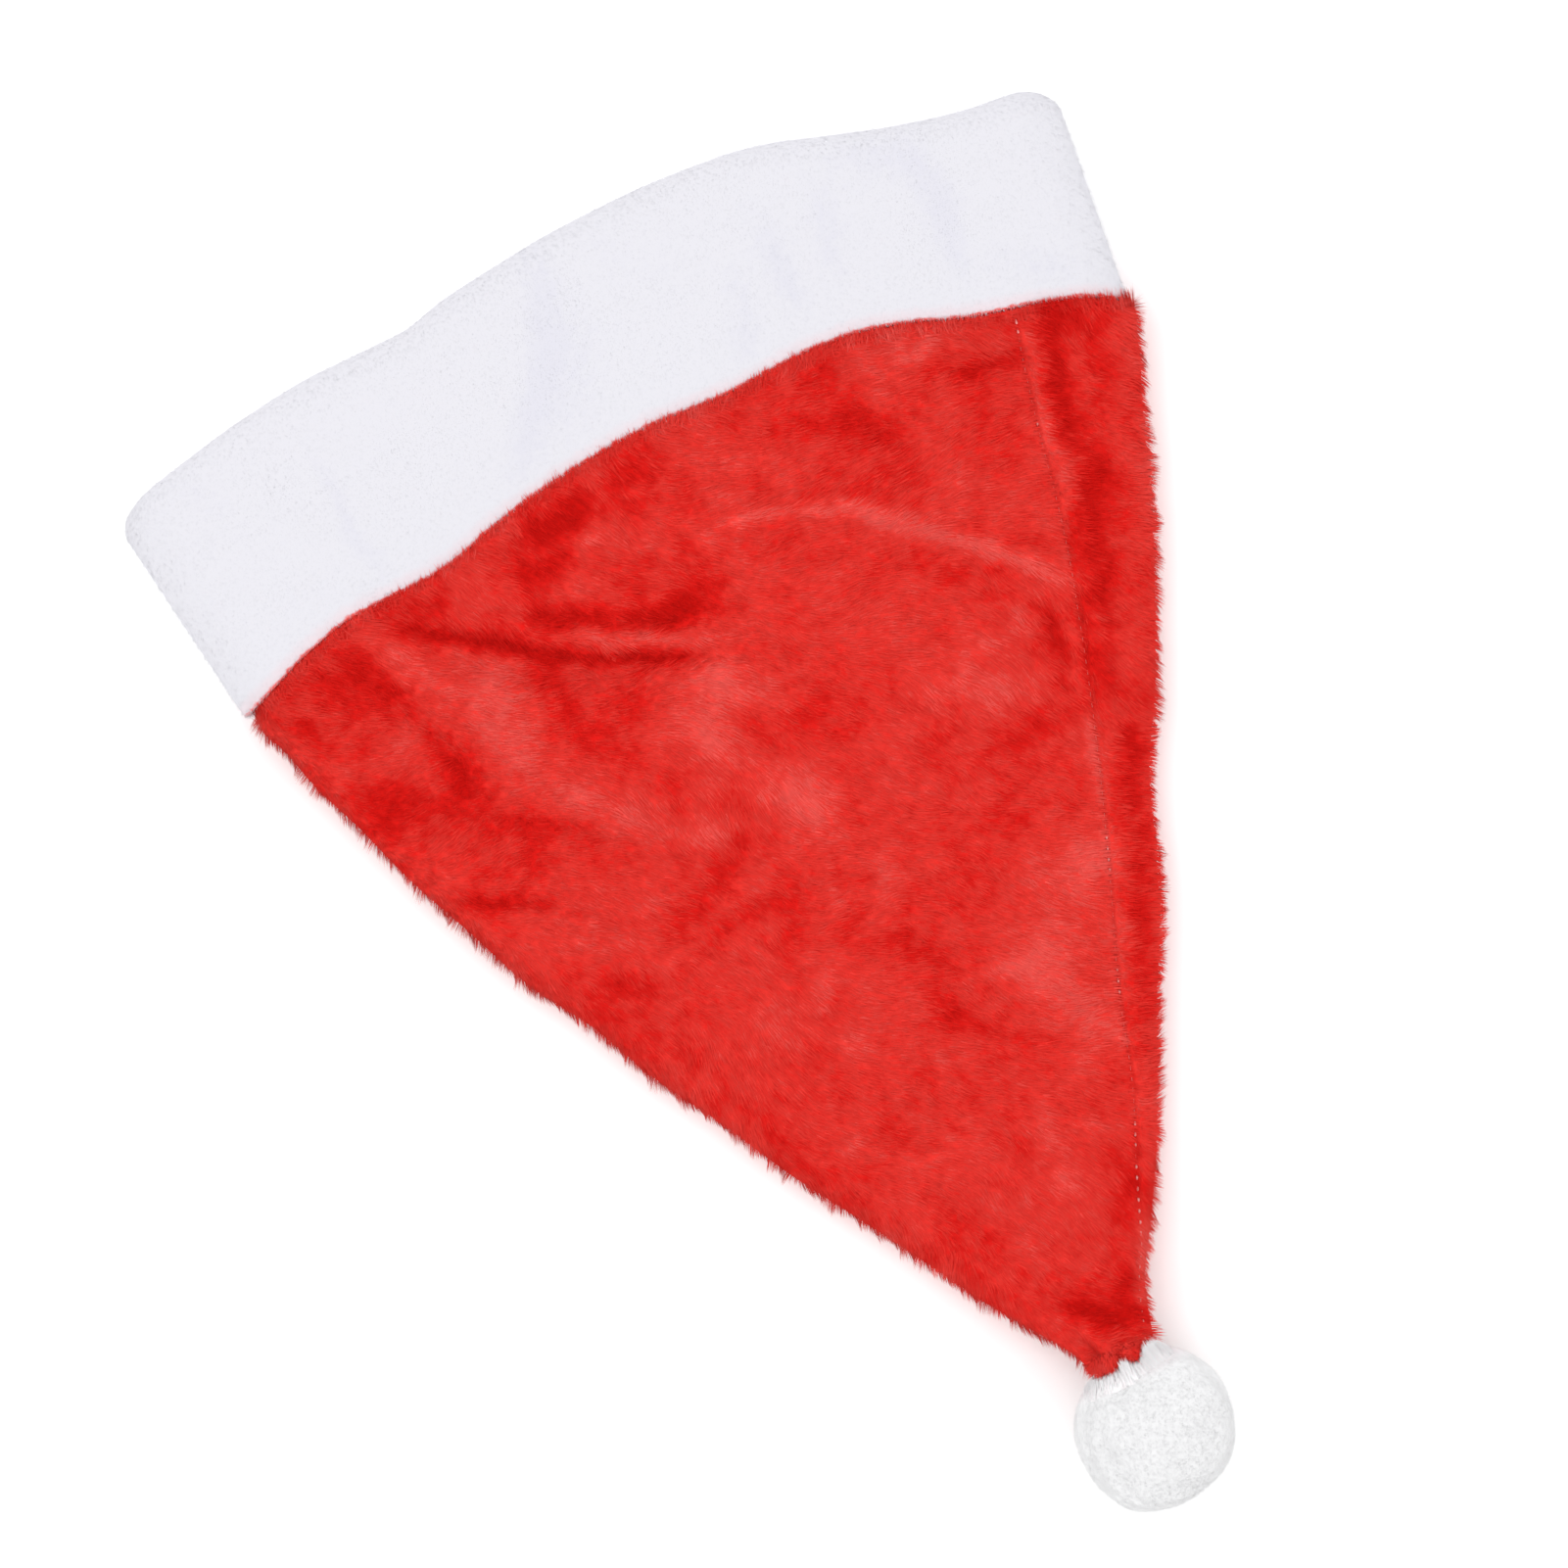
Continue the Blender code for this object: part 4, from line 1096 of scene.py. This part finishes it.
def make_pompom(material):
    work = bmesh.new()
    bmesh.ops.create_icosphere(work, subdivisions=6, radius=1.0)
    outs = unit(np.array([vertex.co for vertex in work.verts]))
    reach = pompom_radius(outs) + POMPOM_CORE - POMPOM_RADIUS
    for vertex, place in zip(work.verts, np.array(POMPOM_CENTRE) + outs * reach[:, None]):
        place[2] = max(place[2], POMPOM_LOWEST)
        vertex.co = place * MM
    cut = bmesh.ops.bisect_plane(
        work, geom=work.verts[:] + work.edges[:] + work.faces[:], plane_co=(0.0, POMPOM_SEAT_Y * MM, 0.0),
        plane_no=(0.0, 1.0, 0.0), clear_outer=True,
    )
    edges = [item for item in cut["geom_cut"] if isinstance(item, bmesh.types.BMEdge)]
    bmesh.ops.holes_fill(work, edges=edges, sides=0)
    mesh = bpy.data.meshes.new("pompom_core")
    work.to_mesh(mesh)
    work.free()
    mesh.shade_smooth()
    places = vectors_of(mesh.vertices, "co") / MM
    # Painted light: the ball's core is painted lighter where it turns to the side.
    set_lie(mesh, ball_blush(places), side_painted_light(unit(places - POMPOM_CENTRE), 0.5))
    return object_of(mesh, material)


def ball_blush(places):
    """Pinker towards the seat on the crown: 0 there, 1 away from it."""
    return np.clip((POMPOM_SEAT_Y - places[:, 1]) / BLUSH_REACH, 0.0, 1.0)


def pompom_pile(material, rng):
    count = POMPOM_FIBRES
    k = np.arange(count) + 0.5
    turn = k * math.pi * (1 + math.sqrt(5))
    up = 1 - 2 * k / count
    flat = np.sqrt(1 - up**2)
    normals = np.column_stack([flat * np.cos(turn), flat * np.sin(turn), up])
    normals = unit(normals + rng.normal(0.0, 0.006, (count, 3)))
    centre = np.array(POMPOM_CENTRE)
    reach = pompom_radius(normals) + POMPOM_CORE - POMPOM_RADIUS - BALL_SUNK
    roots = centre + normals * reach[:, None]
    keep = roots[:, 1] < POMPOM_SEAT_Y + BALL_PILE_PAST_SEAT
    normals, roots = normals[keep], roots[keep]
    count = len(roots)
    swirl = np.column_stack([
        soft_noise(roots[:, axis] * 1.3 + roots[:, 2], roots[:, 1] + 31 * axis, 8.0, 93 + axis) for axis in range(3)
    ])
    lie = unit(np.cross(normals, 0.4 * swirl + rng.normal(0.0, 1.0, (count, 3))))
    tilt = np.radians(rng.uniform(*BALL_TILTS, count))[:, None]
    directions = unit(normals * np.cos(tilt) + lie * np.sin(tilt))
    lengths = rng.uniform(*BALL_LENGTHS, count)
    widths = rng.uniform(*BALL_WIDTHS, count)
    return fibres("pompom_pile", roots, normals, directions, lengths, widths, ball_blush(roots), material, rng,
                  lean=BALL_LEAN, lift=BALL_LIFT, painted_lighter_sides=True)


def round_the_tip(count, rng):
    """Random turns round the upper part of the tip, and the way outward at each."""
    turn = rng.uniform(*TIP_ARC, count) * math.pi
    return turn, np.column_stack([np.cos(turn), np.zeros(count), np.sin(turn)])


def tuft_reach(turn, tufts):
    """How far the tufts reach at each turn."""
    x = POMPOM_CENTRE[0] + TIP_RING * np.cos(turn)
    reached = np.zeros(len(turn))
    for at, half, reach in tufts:
        reached = np.maximum(reached, reach * np.exp(-(((x - at) / half) ** 4)))
    return reached


def pompom_seat_pile(material, rng):
    """White tufts of the ball that stand up over the tip of the crown."""
    turn, outward = round_the_tip(SEAT_FIBRES, rng)
    back = rng.uniform(*SEAT_BACK, SEAT_FIBRES)
    past = POMPOM_SEAT_Y - POMPOM_CENTRE[1] - back
    ring = np.sqrt(POMPOM_RADIUS**2 - past**2) - 1.0
    seat = np.array((POMPOM_CENTRE[0], POMPOM_SEAT_Y, POMPOM_CENTRE[2]))
    roots = seat + outward * ring[:, None] - np.outer(back, (0.0, 1.0, 0.0))
    ends = seat + outward * rng.uniform(*SEAT_RING, SEAT_FIBRES)[:, None]
    ends[:, 1] += tuft_reach(turn, SEAT_TUFTS) + rng.uniform(-0.4, 0.6, SEAT_FIBRES)
    ends += 0.5 * rng.normal(0.0, 1.0, (SEAT_FIBRES, 3))
    lengths = np.linalg.norm(ends - roots, axis=1) * rng.uniform(0.75, 1.05, SEAT_FIBRES)
    directions = unit(ends - roots)
    widths = rng.uniform(*SEAT_WIDTHS, SEAT_FIBRES)
    facing = unit(outward * ring[:, None] + np.outer(past, (0.0, 1.0, 0.0)) + (0.0, 0.0, 0.5 * POMPOM_RADIUS))
    blush = rng.uniform(*SEAT_BLUSH, SEAT_FIBRES)
    return fibres("pompom_seat_pile", roots, facing, directions, lengths, widths, blush, material, rng,
                  lean=BALL_LEAN, lift=BALL_LIFT, painted_lighter_sides=True, more_painted_light=SEAT_PAINTED_LIGHT)


red = plush_material("red_pile", RED_STOPS, sheen=0.10, roughness=0.75, tone_range=(0.90, 1.08), bump=0.0)
red_cloth = plush_material(
    "red_cloth", RED_STOPS, sheen=0.10, roughness=0.85, tone_range=(0.90, 1.08), bump=0.0004,
)
thread = plush_material(
    "thread", [(0.0, THREAD), (1.0, THREAD)], sheen=0.0, roughness=0.8, tone_range=(0.95, 1.05), bump=0.0002,
)
# The white materials' tone makes them up to about a quarter lighter: painted light on the sides.
white = plush_material(
    "white_pile", [(0.0, BLUSH), (WHITE_SHARE, WHITE), (1.0, PAINTED_FOLD_SHADE)], sheen=0.25, roughness=0.8,
    tone_range=(0.98, 1.25), bump=0.0,
)
ball_white = plush_material(
    "ball_pile", [(0.0, BALL_BLUSH), (1.0, BALL_WHITE)], sheen=0.25, roughness=0.8, tone_range=(0.98, 1.30),
    bump=0.0,
)
ball_cloth = plush_material(
    "ball_cloth", [(0.0, BALL_BLUSH), (1.0, BALL_WHITE)], sheen=0.25, roughness=0.85, tone_range=(0.98, 1.30),
    bump=0.0001,
)
# The cloth's lowest nap is the painted reflection of the red.
white_cloth = plush_material(
    "white_cloth", [(0.0, REFLECTED_RED), (0.15, BLUSH), (WHITE_SHARE, WHITE), (1.0, PAINTED_FOLD_SHADE)], sheen=0.25,
    roughness=0.85, tone_range=(0.98, 1.25), bump=0.0001,
)

rng = np.random.default_rng(2412)
crown, grid, normals, off_seam, angles = make_crown(red_cloth)
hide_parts("crown")
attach(crown, "root")

extra = np.stack([off_seam, np.sin(angles)], axis=-1)
upper_part = np.sin(angles) > UPPER_LIMIT
seam_clear = np.abs(off_seam) > SEAM_CLEAR
pile_pieces = []
roots = scatter(grid, normals, extra, (upper_part & seam_clear).astype(float), RED_FIBRES_TOP, rng)
x, y = roots.points[:, 0], roots.points[:, 1]
# The nap carries painted shade in the creases and painted highlights on the ridges.
nap_and_shade = nap_and_shade_at(x, y)
nap_angle = with_noise(NAP_DIRECTION, x, y, NAP_TURNS)
side_share = 1 - np.clip(roots.normals[:, 2], 0.0, 1.0)
# Painted light on the sides.
nap_and_shade = np.clip(nap_and_shade + SIDE_NAP_AND_LIGHT * side_share**2, 0.0, 1.0)
tilt = np.radians(TOP_TILT[0] + TOP_TILT[1] * nap_and_shade) * (1 - SIDE_TILT * side_share)
directions = pile_directions(roots, nap_angle, tilt, 41, (SWIRL[0] + SWIRL[1] * side_share)[:, None])
lock = 1 + (LOCKS[0] + LOCKS[1] * side_share) * soft_noise(x, y, 3.0, 47)
lengths = PILE_LENGTH * rng.uniform(0.75, 1.1, len(x)) * (0.85 + 0.15 * nap_and_shade) * lock
nap_and_shade = np.clip(nap_and_shade + 0.07 * rng.normal(0.0, 1.0, len(x)), 0.0, 1.0)
widths = PILE_WIDTH * rng.uniform(0.7, 1.3, len(x))
order = np.argsort(y)
for i, part in enumerate(np.array_split(order, 3)):
    pile_pieces.append(fibres(f"crown_pile_{i + 1}", roots.points[part], roots.normals[part], directions[part],
                              lengths[part], widths[part], nap_and_shade[part], red, rng))

roots = scatter(grid, normals, extra, (~upper_part).astype(float), RED_FIBRES_UNDER, rng)
x, y = roots.points[:, 0], roots.points[:, 1]
nap_and_shade = np.clip(with_noise(0.5, x, y, UNDER_SPOTS), 0.0, 1.0)
nap_angle = with_noise(NAP_DIRECTION, x, y, UNDER_TURNS)
tilt = np.radians(UNDER_TILT[0] + UNDER_TILT[1] * nap_and_shade)
directions = pile_directions(roots, nap_angle, tilt, 61, SWIRL[0])
lengths = PILE_LENGTH * rng.uniform(0.8, 1.1, len(x))
widths = PILE_WIDTH * rng.uniform(0.9, 1.5, len(x))
pile_pieces.append(fibres("crown_pile_under", roots.points, roots.normals, directions, lengths, widths, nap_and_shade,
                          red, rng))

# The pile beside the brim stands up over the white edge.
to_brim = np.zeros_like(grid)
to_brim[1:] = grid[:-1] - grid[1:]
to_brim[0] = to_brim[1]
to_brim /= np.linalg.norm(to_brim, axis=2, keepdims=True)
from_edge = np.linspace(JOIN_EDGE_Y - FIRST_FREE_Y, JOIN_EDGE_Y - CROWN_SECTIONS[0].y, CROWN_ROWS)
from_edge = np.broadcast_to(from_edge[:, None, None], grid.shape[:2] + (1,))
join_rows = np.zeros(grid.shape[:2])
join_rows[0] = 1.0
join_rows[1] = 0.5
roots = scatter(grid, normals, np.concatenate([to_brim, from_edge], axis=2), join_rows * upper_part, JOIN_FIBRES, rng)
x, y = roots.points[:, 0], roots.points[:, 1]
pull = np.column_stack([soft_noise(x * 1.7, y, 2.6, 101 + i) for i in range(3)])
along, off, up, together, spread = FRINGE_WAY
directions = unit(
    along * unit(roots.extra[:, :3]) + off * roots.normals + np.array((0.0, 0.0, up))
    + together * pull + spread * rng.normal(0.0, 1.0, (len(x), 3))
)
least, more, in_locks = FRINGE_REACH
past_edge = least + more * rng.random(len(x)) ** 2 + in_locks * soft_noise(x, y, 3.0, 105)
past_edge = past_edge + np.interp(x, *np.array(FRINGE_MORE, float).T)
lengths = (roots.extra[:, 3] + past_edge) / along
widths = PILE_WIDTH * rng.uniform(0.7, 1.2, len(x))
# The fringe is painted lighter than the pile round it, against the shade among its standing fibres.
nap_and_shade = np.clip(nap_and_shade_at(x, y) + 0.10 + 0.1 * rng.normal(0.0, 1.0, len(x)), 0.0, 1.0)
pile_pieces.append(fibres("crown_pile_join", roots.points, roots.normals, directions, lengths, widths, nap_and_shade, red, rng))

# The pile stands up round the tip, two tufts of it hang over the ball, and it is low under the ball's own tufts.
turn, outward = round_the_tip(TIP_FIBRES, rng)
hangs = tuft_reach(turn, TIP_TUFTS)
under_white = tuft_reach(turn, [(at, half, 1.0) for at, half, _ in SEAT_TUFTS])
up_share = rng.random(TIP_FIBRES) * (1 - 0.8 * under_white)
radius = TIP_RADIUS + TIP_RADIUS_MORE * up_share * np.sin(turn) ** 0.5
roots_at = np.array((POMPOM_CENTRE[0], POMPOM_SEAT_Y + TIP_AWAY, POMPOM_CENTRE[2])) + outward * radius[:, None]
roots_at[:, 1] += rng.uniform(0.0, 4.5, TIP_FIBRES) * (1 - 0.6 * up_share)
directions = unit(
    outward * 0.30 + np.outer(0.30 + 0.45 * hangs, (0.0, -1.0, 0.0)) + 0.3 * rng.normal(0.0, 1.0, (TIP_FIBRES, 3))
)
lengths = (1.5 * (1 - 0.4 * under_white) + 1.3 * hangs) * rng.uniform(0.4, 1.3, TIP_FIBRES)
widths = PILE_WIDTH * rng.uniform(0.8, 1.3, TIP_FIBRES)
nap_and_shade = np.clip(0.5 + 0.2 * soft_noise(roots_at[:, 0], roots_at[:, 1], 3.0, 107), 0.0, 1.0)
pile_pieces.append(fibres("crown_pile_tip", roots_at, outward, directions, lengths, widths, nap_and_shade, red, rng))

stitches = make_stitches(grid, normals, off_seam, thread)

brim, brim_grid, brim_blush_and_reflection = make_brim(white_cloth)
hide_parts("brim")
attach(brim, "root")
profile = brim_profile()
ring = np.concatenate([brim_grid, brim_grid[:1]])
ring_normals = grid_normals(ring)
ring_blush_and_reflection = np.concatenate([brim_blush_and_reflection, brim_blush_and_reflection[:1]])
show = np.array([1.0 if place[2] < BRIM_THICKNESS * 0.6 and (place[0] is None or place[0] < 3 or place[2] == 0)
                 else 0.0 for place in profile] + [1.0])
weights = np.repeat(show[:, None], ring.shape[1], axis=1)
white_pieces = []
top_side = np.sin(brim_angles())[None, :] > UPPER_LIMIT
for name, weight, count, seed in (
    ("brim_pile_top", weights * top_side, WHITE_FIBRES_TOP, 71),
    ("brim_pile_under", weights * ~top_side, WHITE_FIBRES_UNDER, 81),
):
    roots = scatter(ring, ring_normals, ring_blush_and_reflection, weight, count, rng)
    x, y = roots.points[:, 0], roots.points[:, 1]
    nap_and_shade = brim_blush_and_shade(x, y, roots.extra[:, 0])
    nap_angle = WHITE_NAP_DIRECTION + 0.8 * soft_noise(x, y, 30.0, seed)
    upright = rng.random(len(x)) < 0.35 * (1 - np.abs(roots.normals[:, 2]))
    tilt = np.radians(np.where(upright, 58.0, 83.0))
    directions = pile_directions(roots, nap_angle, tilt, seed + 1, 0.03)
    lengths = WHITE_LENGTH * rng.uniform(0.8, 1.1, len(x))
    widths = WHITE_WIDTH * rng.uniform(0.8, 1.2, len(x))
    sunk = roots.points - WHITE_SUNK * roots.normals
    white_pieces.append(fibres(name, sunk, roots.normals, directions, lengths, widths, nap_and_shade, white, rng, lean=0.0,
                               lift=BRIM_LIFT, painted_lighter_sides=True))

pompom = make_pompom(ball_cloth)
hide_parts("pompom")
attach(pompom, "root")
white_pieces.append(pompom_pile(ball_white, rng))
white_pieces.append(pompom_seat_pile(ball_white, rng))

lift_cloth(crown, RED_LIFT)
lift_cloth(brim, BRIM_LIFT)
lift_cloth(pompom, BALL_LIFT)
for piece in pile_pieces:
    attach(piece, "root")
for piece in white_pieces + [stitches]:
    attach(piece, "root")

make_floor()
make_light()
make_camera()
